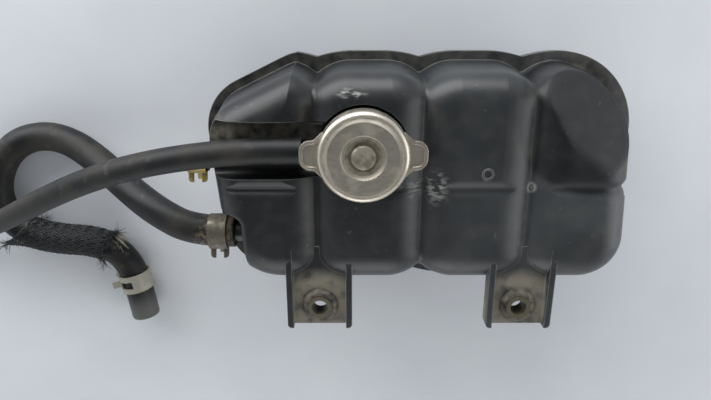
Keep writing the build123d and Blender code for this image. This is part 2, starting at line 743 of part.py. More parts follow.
def coil_spring(radius, wire, turns, bottom, top):
    """Compression spring on the cap's axis, its end coils bearing on what is above and below."""
    height = top - bottom - wire
    path = Helix(pitch=height / turns, height=height, radius=radius)
    section = Plane(path @ 0, z_dir=path % 0) * RegularPolygon(wire / 2, WIRE_FACETS)
    return Pos(NECK_X, NECK_Y, bottom + wire / 2) * sweep(section, path, is_frenet=True)


def pressure_plate():
    """Valve plate: a shallow cup that the pressure spring stands in, bored for the vacuum stem."""
    rim_outer = BELL_RADIUS - BELL_SHEET - CAP_CLEARANCE
    hole = VACUUM_STEM_RADIUS + CAP_CLEARANCE
    bottom = PLATE_TOP_Z - PLATE_SHEET
    top = PLATE_TOP_Z + PLATE_RIM
    return cap_part([
        (hole, bottom),
        (rim_outer, bottom),
        (rim_outer, top),
        (rim_outer - PLATE_SHEET, top),
        (rim_outer - PLATE_SHEET, PLATE_TOP_Z),
        (hole, PLATE_TOP_Z),
    ])


def pressure_seal():
    """Rubber washer under the plate that closes the neck's seat."""
    bottom = SEAT_Z + CAP_CLEARANCE
    top = bottom + SEAL_THICKNESS
    return cap_part([
        (SEAL_INNER_RADIUS, bottom),
        (SEAL_OUTER_RADIUS, bottom),
        (SEAL_OUTER_RADIUS, top),
        (SEAL_INNER_RADIUS, top),
    ])


def vacuum_valve():
    """Vacuum valve: a disc under the seal on a stem with a head for its own spring."""
    disc_top = SEAT_Z
    head_z = PLATE_TOP_Z + VACUUM_STEM_RISE
    return cap_part([
        (0, disc_top - VACUUM_DISC),
        (VACUUM_DISC_RADIUS, disc_top - VACUUM_DISC),
        (VACUUM_DISC_RADIUS, disc_top),
        (VACUUM_STEM_RADIUS, disc_top),
        (VACUUM_STEM_RADIUS, head_z),
        (VACUUM_HEAD_RADIUS, head_z),
        (VACUUM_HEAD_RADIUS, head_z + VACUUM_HEAD),
        (0, head_z + VACUUM_HEAD),
    ])


def grommet(x):
    """Rubber grommet buttoned into a leg's web."""
    groove_low = LEG_UNDER_Z - BUSH_CLEARANCE
    groove_high = LEG_UNDER_Z + LEG_WEB + BUSH_CLEARANCE
    outer = GROMMET_OD / 2
    neck = GROMMET_NECK_OD / 2
    bore = SLEEVE_BORE / 2 + SLEEVE_WALL + BUSH_CLEARANCE
    soft = GROMMET_LIP / 2
    points = [
        (bore, groove_low - GROMMET_LIP),
        (outer - soft, groove_low - GROMMET_LIP),
        (outer, groove_low - GROMMET_LIP + soft),
        (outer, groove_low),
        (neck, groove_low),
        (neck, groove_high),
        (outer, groove_high),
        (outer, groove_high + GROMMET_LIP - soft),
        (outer - soft, groove_high + GROMMET_LIP),
        (bore, groove_high + GROMMET_LIP),
    ]
    return turned(points, x, BUSH_Y)


def bolt_sleeve(x):
    """Steel sleeve through the grommet, its flanged head on top."""
    bore = SLEEVE_BORE / 2
    outer = bore + SLEEVE_WALL
    foot = LEG_UNDER_Z - BUSH_CLEARANCE - GROMMET_LIP - SLEEVE_WALL
    head = LEG_UNDER_Z + LEG_WEB + GROMMET_LIP + 2 * BUSH_CLEARANCE
    points = [
        (bore, foot),
        (outer, foot),
        (outer, head),
        (SLEEVE_HEAD_OD / 2, head),
        (SLEEVE_HEAD_OD / 2, head + SLEEVE_HEAD),
        (bore, head + SLEEVE_HEAD),
    ]
    return turned(points, x, BUSH_Y)


def route_radii(points):
    """Largest arc that each corner's two runs leave room for."""
    radii = []
    for before, here, after in zip(points, points[1:], points[2:]):
        into = Vector(here) - Vector(before)
        out = Vector(after) - Vector(here)
        shorter = min(into.length, out.length)
        half_turn = radians(into.get_angle(out)) / 2
        radii.append(ROUTE_ARC_SHARE * shorter / tan(half_turn))
    return radii


def tube(points, radii, outer, inner):
    """Tube along straight runs joined by tangent arcs."""
    path = FilletPolyline(*points, radius=radii)
    section = Plane(path @ 0, z_dir=path % 0) * (Circle(outer) - Circle(inner))
    solid = sweep(section, path)
    share = solid.volume / (section.area * path.length)
    print("tube length", round(path.length, 1), "volume over section times length", round(share, 4))
    return solid


def share_point(first, second, share):
    """Point part of the way from one route point to the next."""
    return Vector(first) + (Vector(second) - Vector(first)) * share


def vent_points():
    """Vent hose's route from its end on the nipple."""
    return [(NECK_X - VENT_HOSE_START, NECK_Y, VENT_Z), *VENT_ROUTE]


def feed_points():
    """Feed hose's route from its end on the nozzle."""
    return [(-STEP_WALL_X - FEED_HOSE_STANDOFF, FEED_NOZZLE_Y, FEED_Z), *FEED_ROUTE]


def hose(points, outer_diameter, bore):
    """A whole hose, with its bend radii printed."""
    radii = route_radii(points)
    print("hose radii", [round(radius) for radius in radii])
    return tube(points, radii, outer_diameter / 2, bore / 2)


def braid_sleeve():
    """Braided sleeve over the feed hose's lower run."""
    points = feed_points()
    radii = route_radii(points)
    first = BRAIDED_POINTS.start
    beyond = BRAIDED_POINTS.stop
    covered = [
        share_point(points[first - 1], points[first], BRAID_RUN_SHARE),
        *points[first:beyond],
        share_point(points[beyond - 1], points[beyond], BRAID_RUN_SHARE),
    ]
    inner = FEED_HOSE_OD / 2 + BRAID_CLEARANCE
    return tube(covered, radii[first - 1:beyond - 1], inner + BRAID_WALL, inner)


def spring_clamp(inner_radius, width):
    """Spring band clamp about Z: a windowed band with a tongue tab and a forked tab towards +X."""
    outer = inner_radius + CLAMP_SHEET
    fork = width * CLAMP_TAB_SHARE
    band = Cylinder(outer, width) - Cylinder(inner_radius, width)
    gap = radians(CLAMP_TAB_ANGLE)
    reach = 2 * outer
    slit = make_face(Polyline((0, 0), (reach, reach * tan(gap)), (reach, -reach * tan(gap)), close=True))
    band -= extrude(slit, width, both=True)
    window = Pos(0, outer, 0) * Box(inner_radius, outer, width * CLAMP_WINDOW_SHARE)
    band -= Rot(0, 0, CLAMP_WINDOW_ANGLE) * window
    tab_length = CLAMP_TAB + CLAMP_SHEET
    tab = Box(tab_length, CLAMP_SHEET, width, align=(Align.MIN, Align.CENTER, Align.CENTER))
    corner = tab.edges().filter_by(Axis.Y).group_by(Axis.X)[-1]
    tab = Pos(inner_radius, 0, 0) * fillet(corner, width / 5)
    slot = Pos(inner_radius + CLAMP_SHEET, 0, 0) * Box(
        2 * tab_length, 2 * CLAMP_SHEET, fork, align=(Align.MIN, Align.CENTER, Align.CENTER)
    )
    tongue_sides = Box(4 * outer, 4 * outer, fork - CLAMP_SHEET)
    clamp = band + Rot(0, 0, CLAMP_TAB_ANGLE) * (tab - slot)
    clamp += Rot(0, 0, -CLAMP_TAB_ANGLE) * (tab & tongue_sides)
    return clamp


def nozzle_clamp():
    """Clamp on the feed hose over its nozzle, tabs towards the front."""
    x = -STEP_WALL_X - FEED_HOSE_STANDOFF - NOZZLE_CLAMP_INSET
    facing = Plane((x, FEED_NOZZLE_Y, FEED_Z), x_dir=(0, -1, 0), z_dir=(-1, 0, 0))
    return facing * spring_clamp(FEED_HOSE_OD / 2 + TOUCH, CLAMP_WIDTH)


def spare_clamp():
    """Clamp on the spare nipple's plug, tabs towards the front."""
    x = SPARE_WALL_X - SPARE_PLUG_STANDOFF - CLAMP_WIDTH / 2 - TOUCH
    facing = Plane((x, SPARE_Y, SPARE_Z), x_dir=(0, -1, 0), z_dir=(-1, 0, 0))
    return facing * spring_clamp(SPARE_PLUG_OD / 2 + TOUCH, CLAMP_WIDTH)


def hose_end_clamp():
    """Clamp left on the feed hose near its open end, tabs to the left."""
    points = feed_points()
    before = points[-3]
    after = points[-2]
    centre = share_point(before, after, END_CLAMP_RUN_SHARE)
    along = (Vector(after) - Vector(before)).normalized()
    side = along.cross(Vector(0, 0, 1))
    facing = Plane(centre, x_dir=side, z_dir=along)
    return facing * spring_clamp(FEED_HOSE_OD / 2 + CAP_CLEARANCE, END_CLAMP_WIDTH)


def spare_plug():
    """Rubber blanking cap on the spare nipple."""
    start = SPARE_WALL_X - SPARE_PLUG_STANDOFF
    solid = along_x(SPARE_PLUG_OD / 2, start, SPARE_PLUG_TIP_X)
    solid = fillet(solid.edges().group_by(Axis.X)[0], SPARE_PLUG_END / 2)
    bore = along_x(SPARE_PLUG_BORE / 2, start + CUT_CLEAR, SPARE_PLUG_TIP_X + SPARE_PLUG_END)
    return Pos(0, SPARE_Y, SPARE_Z) * (solid - bore)


def place(parts):
    """Moves every part so that the origin lies under the middle of the tank's box."""
    return {name: Pos(-MIDDLE_X, -MIDDLE_Y, 0) * part for name, part in parts.items()}


def main():
    os.makedirs("parts", exist_ok=True)
    half_spacing = LEG_SPACING / 2
    parts = {
        "upper_shell": upper_shell(),
        "lower_shell": lower_shell(),
        "filler_neck": filler_neck(),
        "cap_crown": cap_crown(),
        "cap_rivet": cap_rivet(),
        "cap_diaphragm": cap_diaphragm(),
        "cap_top_seal": cap_top_seal(),
        "spring_bell": spring_bell(),
        "pressure_spring": coil_spring(
            PRESSURE_COIL_RADIUS, PRESSURE_WIRE, PRESSURE_TURNS, PLATE_TOP_Z, BELL_TOP_Z - BELL_SHEET
        ),
        "pressure_plate": pressure_plate(),
        "pressure_seal": pressure_seal(),
        "vacuum_valve": vacuum_valve(),
        "vacuum_spring": coil_spring(
            VACUUM_COIL_RADIUS, VACUUM_WIRE, VACUUM_TURNS, PLATE_TOP_Z, PLATE_TOP_Z + VACUUM_STEM_RISE
        ),
        "left_grommet": grommet(-half_spacing),
        "right_grommet": grommet(half_spacing),
        "left_sleeve": bolt_sleeve(-half_spacing),
        "right_sleeve": bolt_sleeve(half_spacing),
        "vent_hose": hose(vent_points(), VENT_HOSE_OD, VENT_HOSE_BORE),
        "feed_hose": hose(feed_points(), FEED_HOSE_OD, FEED_HOSE_BORE),
        "braid_sleeve": braid_sleeve(),
        "nozzle_clamp": nozzle_clamp(),
        "hose_end_clamp": hose_end_clamp(),
        "spare_clamp": spare_clamp(),
        "spare_plug": spare_plug(),
    }
    for name, part in place(parts).items():
        export_step(part, f"parts/{name}.step")


main()
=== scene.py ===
"""Coolant expansion tank: hoses, braided sleeve and surface finishes round its solid parts, and a studio."""

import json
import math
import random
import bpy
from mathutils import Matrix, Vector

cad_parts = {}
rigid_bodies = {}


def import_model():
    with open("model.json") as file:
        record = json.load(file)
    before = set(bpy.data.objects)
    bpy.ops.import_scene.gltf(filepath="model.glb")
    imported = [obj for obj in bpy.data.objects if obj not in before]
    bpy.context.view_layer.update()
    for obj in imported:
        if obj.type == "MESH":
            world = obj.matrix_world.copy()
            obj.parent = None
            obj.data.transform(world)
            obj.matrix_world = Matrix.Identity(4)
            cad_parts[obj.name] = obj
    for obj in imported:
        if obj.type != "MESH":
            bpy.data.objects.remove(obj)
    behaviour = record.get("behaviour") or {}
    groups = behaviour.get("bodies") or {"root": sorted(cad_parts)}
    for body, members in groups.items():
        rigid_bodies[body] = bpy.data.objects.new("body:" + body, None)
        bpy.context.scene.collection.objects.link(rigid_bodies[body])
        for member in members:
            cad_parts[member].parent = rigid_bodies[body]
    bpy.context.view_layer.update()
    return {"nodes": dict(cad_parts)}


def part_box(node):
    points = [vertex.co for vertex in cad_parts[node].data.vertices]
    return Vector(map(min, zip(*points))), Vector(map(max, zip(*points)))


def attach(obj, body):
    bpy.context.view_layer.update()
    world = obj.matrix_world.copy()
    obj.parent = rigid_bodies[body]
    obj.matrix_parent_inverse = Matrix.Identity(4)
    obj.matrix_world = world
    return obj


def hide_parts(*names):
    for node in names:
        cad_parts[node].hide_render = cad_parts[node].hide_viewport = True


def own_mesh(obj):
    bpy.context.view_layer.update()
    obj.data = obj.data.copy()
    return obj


bl_info = {
    "name": "Coolant expansion tank",
    "version": (1, 0, 0),
    "blender": (4, 5, 0),
    "location": "View3D > Sidebar > Tank",
    "description": "Dresses the tank with its hoses, braid and finishes, and sets up a studio",
    "category": "Object",
}

import bpy
from bpy.props import FloatProperty, IntProperty, PointerProperty, StringProperty
from mathutils import Vector

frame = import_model()

MM = 0.001

TOP_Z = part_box("upper_shell")[1].z
TANK_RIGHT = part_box("upper_shell")[1].x
SEAM_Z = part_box("lower_shell")[1].z
CAP_LOW, CAP_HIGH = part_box("cap_crown")
CAP_MIDDLE = (CAP_LOW + CAP_HIGH) / 2
CAP_TOP = (CAP_MIDDLE.x, CAP_MIDDLE.y, CAP_HIGH.z)
LEFT_BUSH = sum(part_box("left_sleeve"), Vector()) / 2
RIGHT_BUSH = sum(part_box("right_sleeve"), Vector()) / 2
NOZZLE_CLAMP = sum(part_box("nozzle_clamp"), Vector()) / 2

# The legs' webs lie this far above the lower ends of their grommets
WEB_ABOVE_GROMMET = 4 * MM
LEG_WEB_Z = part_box("left_grommet")[0].z + WEB_ABOVE_GROMMET

# Points nearer than this are one
MERGE_DISTANCE = 0.01 * MM

# Hose routes, in metres, from the nipple or nozzle to the open end
VENT_ROUTE = [
    (-0.05815, 0.02905, 0.0945),
    (-0.08825, 0.02905, 0.0945),
    (-0.11225, 0.02665, 0.0940),
    (-0.13625, 0.02265, 0.0912),
    (-0.16025, 0.01625, 0.0855),
    (-0.18625, 0.00685, 0.0770),
    (-0.21225, -0.00495, 0.0665),
    (-0.23825, -0.01815, 0.0550),
    (-0.26325, -0.03115, 0.0415),
    (-0.28725, -0.04275, 0.0270),
    (-0.30825, -0.05195, 0.0138),
    (-0.32625, -0.05675, 0.0076),
    (-0.34825, -0.05675, 0.0076),
]
FEED_ROUTE = [
    (-0.10375, -0.02925, 0.0630),
    (-0.12925, -0.02925, 0.0630),
    (-0.15325, -0.02175, 0.0520),
    (-0.17225, -0.01325, 0.0400),
    (-0.18825, -0.00445, 0.0292),
    (-0.20425, 0.00585, 0.0195),
    (-0.22425, 0.01685, 0.0120),
    (-0.24425, 0.02025, 0.0100),
    (-0.26325, 0.01375, 0.0100),
    (-0.27725, -0.00225, 0.0102),
    (-0.28275, -0.02275, 0.0108),
    (-0.27625, -0.04075, 0.0116),
    (-0.26025, -0.05175, 0.0119),
    (-0.24025, -0.05575, 0.0119),
    (-0.22025, -0.05675, 0.0119),
    (-0.20325, -0.06325, 0.0119),
    (-0.19375, -0.07725, 0.0119),
    (-0.19005, -0.09675, 0.0119),
    (-0.18775, -0.11675, 0.0119),
]

# Samples on each span of a route, and the knots between which the braid lies
ROUTE_STEPS = 24
BRAID_FIRST_KNOT = 11
BRAID_LAST_KNOT = 15

# Where the camera stands, what the lights point at, and how large the stage is, in metres
CAMERA_PLACE = (-0.02975, 0.09925, 0.3864)
SENSOR_WIDTH_MM = 36.0
NEAREST_SEEN = 0.01
LIGHT_AIM = Vector((0.0, 0.0, 0.05))
LIGHT_HEIGHT = 0.9
FLOOR_SIZE = 6.0

# Heights of a direction, as the sine of its angle, between which the surround goes from horizon to zenith
HORIZON_SINE = 0.15
ZENITH_SINE = 0.85

# Rims of the hoses are rounded by this share of the wall
RIM_SHARE = 0.2
RIM_ANGLE = math.radians(50)

# Two strands lie side by side in a bundle, shifted by this share of the bundles' spacing
STRAND_SHIFT = 0.2
STRAND_SIDES = 6

# A strand rises and dips by this share of its thickness as it crosses the others
WEAVE_LIFT = 0.7

# How ragged the braid's ends are, and over what share of its length its worn end opens and leaves the hose
RAGGED_SAMPLES = 5
WORN_SHARE = 0.34
WORN_DRIFT = Vector((8 * MM, -12 * MM, 0))

# Loose fibres at the tip of each strand: how many, and how far they spread, lift and curl
BRAID_SEED = 7
FIBRES_AT_A_TIP = 2
FRAY_SPREAD = 0.4
FRAY_LIFT = 0.3
FRAY_CURL = 1.5
FIBRE_STEPS = 7
FIBRE_SIDES = 3
FIBRE_TAPER = 0.6

# A pale tuft of fibres that has come out of the braid's right end, with one longer than the rest
STRAY_HEADING = Vector((1.0, -0.5, 0.15))
STRAY_BEND = Vector((0.2, -0.3, -0.4))
STRAY_LENGTH = 26 * MM
TUFT_FIBRES = 60
TUFT_LENGTH = 15 * MM
TUFT_ROOT_SPREAD = 2.5 * MM
TUFT_SPREAD = 0.6
TUFT_CURL = 0.8

# From the braid's end, on the hose's own line, to the middle of the tuft, where the fibres are bleached
WISP_OFFSET = Vector((17 * MM, 2 * MM, 2 * MM))

# How far the relief valves open
PRESSURE_TRAVEL = 3 * MM
VACUUM_TRAVEL = 1.5 * MM

# The weld bead: how far its middle lies under the seam, how long its lumps are, and their share of its radius
BEAD_DROP = 0.4 * MM
BEAD_LUMP = 5 * MM
BEAD_LUMP_SHARE = 0.7

# The nub's top edge is rounded by this share of its radius
NUB_ROUNDING = 0.6
NUB_SMOOTH_ANGLE = math.radians(40)

# Dust fills the channel behind the vent hose
CHANNEL_MIDDLE = (-84 * MM, 38 * MM, 85 * MM)

# The nylon is whitened where it was rubbed beside the cap and knocked behind it
RUBBED_MIDDLE = (10 * MM, 8 * MM, TOP_Z)
KNOCKED_MIDDLE = (-32 * MM, 60 * MM, TOP_Z)

# Painted shade lies in rings round the cap's button and at the foot of its rolled rim
PAINTED_SHADE_RINGS = (7.2 * MM, 20.8 * MM)
PAINTED_SHADE_WIDTH = 1.1 * MM

# Middle of the slanted facet, whose edges are softly rounded
FACET_MIDDLE = (0.098, 0.046, 0.082)

# Middle of the soft crease that runs across the lobes
CREASE_MIDDLE = (0.060, 0.00725, TOP_Z)

# Middle of the lower part of the right-hand groove between the lobes
FURROW_MIDDLE = (0.06775, -0.022, TOP_Z)

# Where the right-hand grooves between the lobes cross, on the shell's surface
CROSSING_X = 0.06775
CROSSING_Y = 0.00725
FROM_ABOVE = (CROSSING_X, CROSSING_Y, 1.0)
GROOVE_CROSSING = frame["nodes"]["upper_shell"].ray_cast(FROM_ABOVE, (0, 0, -1))[1]


class TankSizes(bpy.types.PropertyGroup):
    """Sizes of what is modelled on top of the solid parts."""

    vent_diameter: FloatProperty(
        name="Vent hose", description="Outside diameter of the vent hose", default=14.5 * MM, unit="LENGTH"
    )
    vent_wall: FloatProperty(
        name="Vent wall", description="Wall of the vent hose", default=2.95 * MM, unit="LENGTH"
    )
    feed_diameter: FloatProperty(
        name="Feed hose", description="Outside diameter of the feed hose", default=19.5 * MM, unit="LENGTH"
    )
    feed_wall: FloatProperty(
        name="Feed wall", description="Wall of the feed hose", default=3.5 * MM, unit="LENGTH"
    )
    braid_radius: FloatProperty(
        name="Braid radius", description="Middle radius of the sleeve", default=10.6 * MM, unit="LENGTH"
    )
    braid_carriers: IntProperty(
        name="Carriers", description="Bundles that wind each way, an even number", default=18, min=8, max=48
    )
    braid_lead: FloatProperty(
        name="Lead", description="Length in which a bundle goes once round", default=140 * MM, unit="LENGTH"
    )
    strand_width: FloatProperty(
        name="Strand width", description="Width of one flat strand", default=0.8 * MM, unit="LENGTH"
    )
    strand_thickness: FloatProperty(
        name="Strand thickness", description="Thickness of one strand", default=0.55 * MM, unit="LENGTH"
    )
    braid_flare: FloatProperty(
        name="Flare", description="How far the braid's worn end opens", default=3.5 * MM, unit="LENGTH"
    )
    fray_length: FloatProperty(
        name="Fray", description="Longest loose fibre at the braid's ends", default=12 * MM, unit="LENGTH"
    )
    fibre_radius: FloatProperty(
        name="Fibre", description="Radius of one loose fibre", default=0.22 * MM, unit="LENGTH"
    )
    bead_radius: FloatProperty(
        name="Weld bead", description="Radius of the bead at the weld", default=0.8 * MM, unit="LENGTH"
    )
    nub_radius: FloatProperty(
        name="Nub", description="Radius of the moulded nub in the groove", default=1.7 * MM, unit="LENGTH"
    )


class TankColours(bpy.types.PropertyGroup):
    """Colours of the finishes, as sRGB hex values."""

    nylon: StringProperty(name="Nylon", description="Moulded tank halves", default="#121518")
    nylon_worn: StringProperty(name="Worn nylon", description="Rubbed and faded nylon", default="#505456")
    # The dust colour also paints the sheen on the nylon's right-facing slopes
    dust: StringProperty(name="Dust", description="Road dust in the hollows", default="#868173")
    # The scuff colour also paints the edge highlights on the nylon
    scuff: StringProperty(name="Scuff", description="Whitened scratches", default="#b4b7b3")
    rubber: StringProperty(name="Rubber", description="Hoses, plug and grommets", default="#101214")
    # The crust colour also paints the shade rings on the cap
    crust: StringProperty(name="Crust", description="Caked dirt", default="#6f6959")
    crumb: StringProperty(name="Crumbs", description="Brown crumbs by the nozzle", default="#8a7760")
    pale_dirt: StringProperty(name="Pale dirt", description="Dried splashes on zinc", default="#9d9a8d")
    soil: StringProperty(name="Soil", description="Brown dust on the hoses", default="#4d483f")
    stainless: StringProperty(name="Stainless", description="Pressed cap", default="#cfc7b9")
    zinc: StringProperty(name="Zinc", description="Zinc-plated clamps and sleeves", default="#b0ab9c")
    chromate: StringProperty(name="Chromate", description="Yellow chromate clamp", default="#bda654")
    spring: StringProperty(name="Spring steel", description="Valve springs and plates", default="#b4b6b6")
    brass: StringProperty(name="Brass", description="Vacuum valve", default="#b99a56")
    braid: StringProperty(name="Braid", description="Nylon strands of the sleeve", default="#212527")
    wisp: StringProperty(name="Wisp", description="Bleached loose fibres", default="#b5ad9c")
    floor: StringProperty(name="Floor", description="Studio floor", default="#dde1e6")
    floor_shade: StringProperty(name="Floor clouds", description="Darker clouds", default="#d7dbe1")
    surround: StringProperty(name="Surround", description="Light round the studio", default="#e6eaee")


class StudioSettings(bpy.types.PropertyGroup):
    """Camera and light."""

    lens: FloatProperty(name="Lens", description="Focal length in millimetres", default=28.354, unit="CAMERA")
    tilt: FloatProperty(
        name="Tilt", description="Turn past straight down", default=math.radians(-18.5), subtype="ANGLE"
    )
    rear_power: FloatProperty(name="Rear light", description="Power behind", default=24.0, unit="POWER")
    right_power: FloatProperty(name="Right light", description="Power at right", default=3.8, unit="POWER")
    front_power: FloatProperty(name="Front light", description="Power in front", default=3.6, unit="POWER")
    zenith: FloatProperty(name="Zenith", description="Strength of the surround overhead", default=0.17)
    horizon: FloatProperty(name="Horizon", description="Strength of the surround at the sides", default=1.1)


def linear(hex_colour):
    """An sRGB hex value as a linear colour with alpha."""
    channels = [int(hex_colour[i:i + 2], 16) / 255 for i in (1, 3, 5)]
    return [c / 12.92 if c <= 0.04045 else ((c + 0.055) / 1.055) ** 2.4 for c in channels] + [1.0]


def colour(name):
    """One of the scene's colours, linear."""
    return linear(getattr(bpy.context.scene.tank_colours, name))


# A Mix of colours takes its factor at 0 and its colours at 6 and 7, and gives its result at 2.
# A Mix of numbers takes its factor at 0 and its numbers at 2 and 3, and gives its result at 0.
def node(tree, kind, inputs=None, out=0, **settings):
    """Adds a shader node and gives one of its outputs; an input is a value or the socket that feeds it."""
    made = tree.nodes.new(kind)
    for name, value in settings.items():
        setattr(made, name, value)
    for key, value in (inputs or {}).items():
        if isinstance(value, bpy.types.NodeSocket):
            tree.links.new(value, made.inputs[key])
        else:
            made.inputs[key].default_value = value
    return made.outputs[out]


def new_material(name):
    """A material with its node tree, its shader and the object's own coordinates."""
    material = bpy.data.materials.new(name)
    material.use_nodes = True
    tree = material.node_tree
    shader = tree.nodes["Principled BSDF"]
    place = node(tree, "ShaderNodeTexCoord", out="Object")
    return material, tree, shader, place


def finish_shader(tree, shader, **sockets):
    """Links worked-out values to the shader's sockets, whose names are written with underscores."""
    for name, socket in sockets.items():
        tree.links.new(socket, shader.inputs[name.replace("_", " ")])


def mottling(tree, place, size_mm, detail, low, high, top=1.0):
    """Cloudy patches of about one size, from 0 to a top value; low and high set how much they cover."""
    cloud = node(tree, "ShaderNodeTexNoise", {"Vector": place, "Scale": 1 / (size_mm * MM), "Detail": detail})
    return node(
        tree, "ShaderNodeMapRange", {"Value": cloud, "From Min": low, "From Max": high, "To Max": top}
    )


def patch(tree, place, centre, radii, solid=0.6, top=1.0):
    """Soft ellipsoid round a point: a top value in its solid middle share, and 0 outside."""
    offset = node(tree, "ShaderNodeVectorMath", {0: place, 1: tuple(centre)}, operation="SUBTRACT")
    scale = tuple(1 / radius for radius in radii)
    scaled = node(tree, "ShaderNodeVectorMath", {0: offset, 1: scale}, operation="MULTIPLY")
    reach = node(tree, "ShaderNodeVectorMath", {0: scaled}, out="Value", operation="LENGTH")
    return node(
        tree,
        "ShaderNodeMapRange",
        {"Value": reach, "From Min": 1.0, "From Max": solid, "To Max": top},
        interpolation_type="SMOOTHSTEP",
    )


# Edge mask for the painted edge highlights on the nylon and for the rubbed clean edges of the cap
def rubbed_and_highlit_edges(tree, radius, top):
    """Narrow lines along sharp edges, from 0 to a top value, where a rounded normal leaves the true one."""
    facing = node(tree, "ShaderNodeNewGeometry", out="Normal")
    rounded = node(tree, "ShaderNodeBevel", {"Radius": radius}, samples=4)
    agreement = node(
        tree, "ShaderNodeVectorMath", {0: facing, 1: rounded}, out="Value", operation="DOT_PRODUCT"
    )
    return node(
        tree, "ShaderNodeMapRange", {"Value": agreement, "From Min": 0.98, "From Max": 0.8, "To Max": top}
    )


def moulded_nylon():
    """Glass-filled nylon, injection moulded in a grained tool and hot-plate welded."""
    # Satin black with broad soft reflections, dusty where dirt settles, whitened where it was rubbed, with
    # painted sheen on the slopes that face right, painted edge highlights and a painted dark reflection on
    # the slanted facet
    material, tree, shader, place = new_material("moulded_nylon")
    along = node(tree, "ShaderNodeSeparateXYZ", {0: place}, out="X")
    end_fade = node(
        tree,
        "ShaderNodeMapRange",
        {"Value": along, "From Min": CAP_LOW.x, "From Max": TANK_RIGHT, "To Min": 0.05, "To Max": 0.8},
    )
    cloud = mottling(tree, place, size_mm=40, detail=3, low=0.1, high=0.7)
    faded = node(tree, "ShaderNodeMath", {0: end_fade, 1: cloud}, operation="MULTIPLY")
    facet = patch(tree, place, FACET_MIDDLE, (46 * MM, 46 * MM, 46 * MM), solid=0.8)
    # Painted dark reflection: the slanted facet is kept at the plain dark nylon, left out of the fade
    faded = node(tree, "ShaderNodeMath", {0: faded, 1: facet}, operation="SUBTRACT", use_clamp=True)
    body = node(
        tree,
        "ShaderNodeMix",
        {0: faded, 6: colour("nylon"), 7: colour("nylon_worn")},
        out=2,
        data_type="RGBA",
    )
    dust = mottling(tree, place, size_mm=12, detail=6, low=0.45, high=0.8, top=0.07)
    # Painted sheen and dust: dust colour laid on the slopes that face right, where light from the right falls
    facing = node(tree, "ShaderNodeNewGeometry", out="Normal")
    side = node(tree, "ShaderNodeSeparateXYZ", {0: facing}, out="X")
    right_slope_dust_and_sheen = node(tree, "ShaderNodeMapRange", {"Value": side, "From Min": 0.4, "From Max": 0.7, "To Max": 0.22})
    powder = mottling(tree, place, size_mm=6, detail=5, low=0.3, high=0.7)
    right_slope_dust_and_sheen = node(tree, "ShaderNodeMath", {0: right_slope_dust_and_sheen, 1: powder}, operation="MULTIPLY")
    # From here dust also holds the painted sheen on the right-facing slopes
    dust = node(tree, "ShaderNodeMath", {0: dust, 1: right_slope_dust_and_sheen}, operation="ADD", use_clamp=True)
    channel = patch(tree, place, CHANNEL_MIDDLE, (42 * MM, 12 * MM, 12 * MM), solid=0.5)
    hollow = node(tree, "ShaderNodeMath", {0: channel, 1: powder}, operation="MULTIPLY")
    dust = node(tree, "ShaderNodeMath", {0: dust, 1: hollow}, operation="ADD", use_clamp=True)
    above_floor = node(tree, "ShaderNodeSeparateXYZ", {0: place}, out="Z")
    off_seam = node(tree, "ShaderNodeMath", {0: above_floor, 1: SEAM_Z}, operation="SUBTRACT")
    off_seam = node(tree, "ShaderNodeMath", {0: off_seam}, operation="ABSOLUTE")
    flange = node(
        tree,
        "ShaderNodeMapRange",
        {"Value": off_seam, "From Min": 5 * MM, "From Max": 3 * MM, "To Max": 0.2},
    )
    flange = node(tree, "ShaderNodeMath", {0: flange, 1: powder}, operation="MULTIPLY")
    dust = node(tree, "ShaderNodeMath", {0: dust, 1: flange}, operation="ADD", use_clamp=True)
    caking = mottling(tree, place, size_mm=9, detail=7, low=0.25, high=0.52)
    for bush in (LEFT_BUSH, RIGHT_BUSH):
        web = patch(tree, place, (bush.x, bush.y, LEG_WEB_Z), (40 * MM, 26 * MM, 8 * MM), solid=0.6, top=0.95)
        web = node(tree, "ShaderNodeMath", {0: web, 1: caking}, operation="MULTIPLY")
        dust = node(tree, "ShaderNodeMath", {0: dust, 1: web}, operation="ADD", use_clamp=True)
    dusty = node(tree, "ShaderNodeMix", {0: dust, 6: body, 7: colour("dust")}, out=2, data_type="RGBA")
    drawn_out = node(tree, "ShaderNodeMapping", {"Vector": place, "Scale": (1, 3, 1)})
    scratch = mottling(tree, drawn_out, size_mm=5, detail=7, low=0.46, high=0.62)
    rubbed = patch(tree, place, RUBBED_MIDDLE, (14 * MM, 15 * MM, 9 * MM), solid=0.3, top=1.0)
    knocked = patch(tree, place, KNOCKED_MIDDLE, (11 * MM, 4 * MM, 9 * MM), solid=0.2, top=0.9)
    rubbed = node(tree, "ShaderNodeMath", {0: rubbed, 1: knocked}, operation="ADD", use_clamp=True)
    marks = node(tree, "ShaderNodeMath", {0: rubbed, 1: scratch}, operation="MULTIPLY")
    # A pale patch in the scuff colour on the nub where the grooves cross
    nub = patch(tree, place, GROOVE_CROSSING, (4 * MM, 4 * MM, 4 * MM), solid=0.3, top=0.6)
    marks = node(tree, "ShaderNodeMath", {0: marks, 1: nub}, operation="MAXIMUM")
    specks = mottling(tree, place, size_mm=5, detail=8, low=0.66, high=0.76, top=0.10)
    marks = node(tree, "ShaderNodeMath", {0: marks, 1: specks}, operation="MAXIMUM")
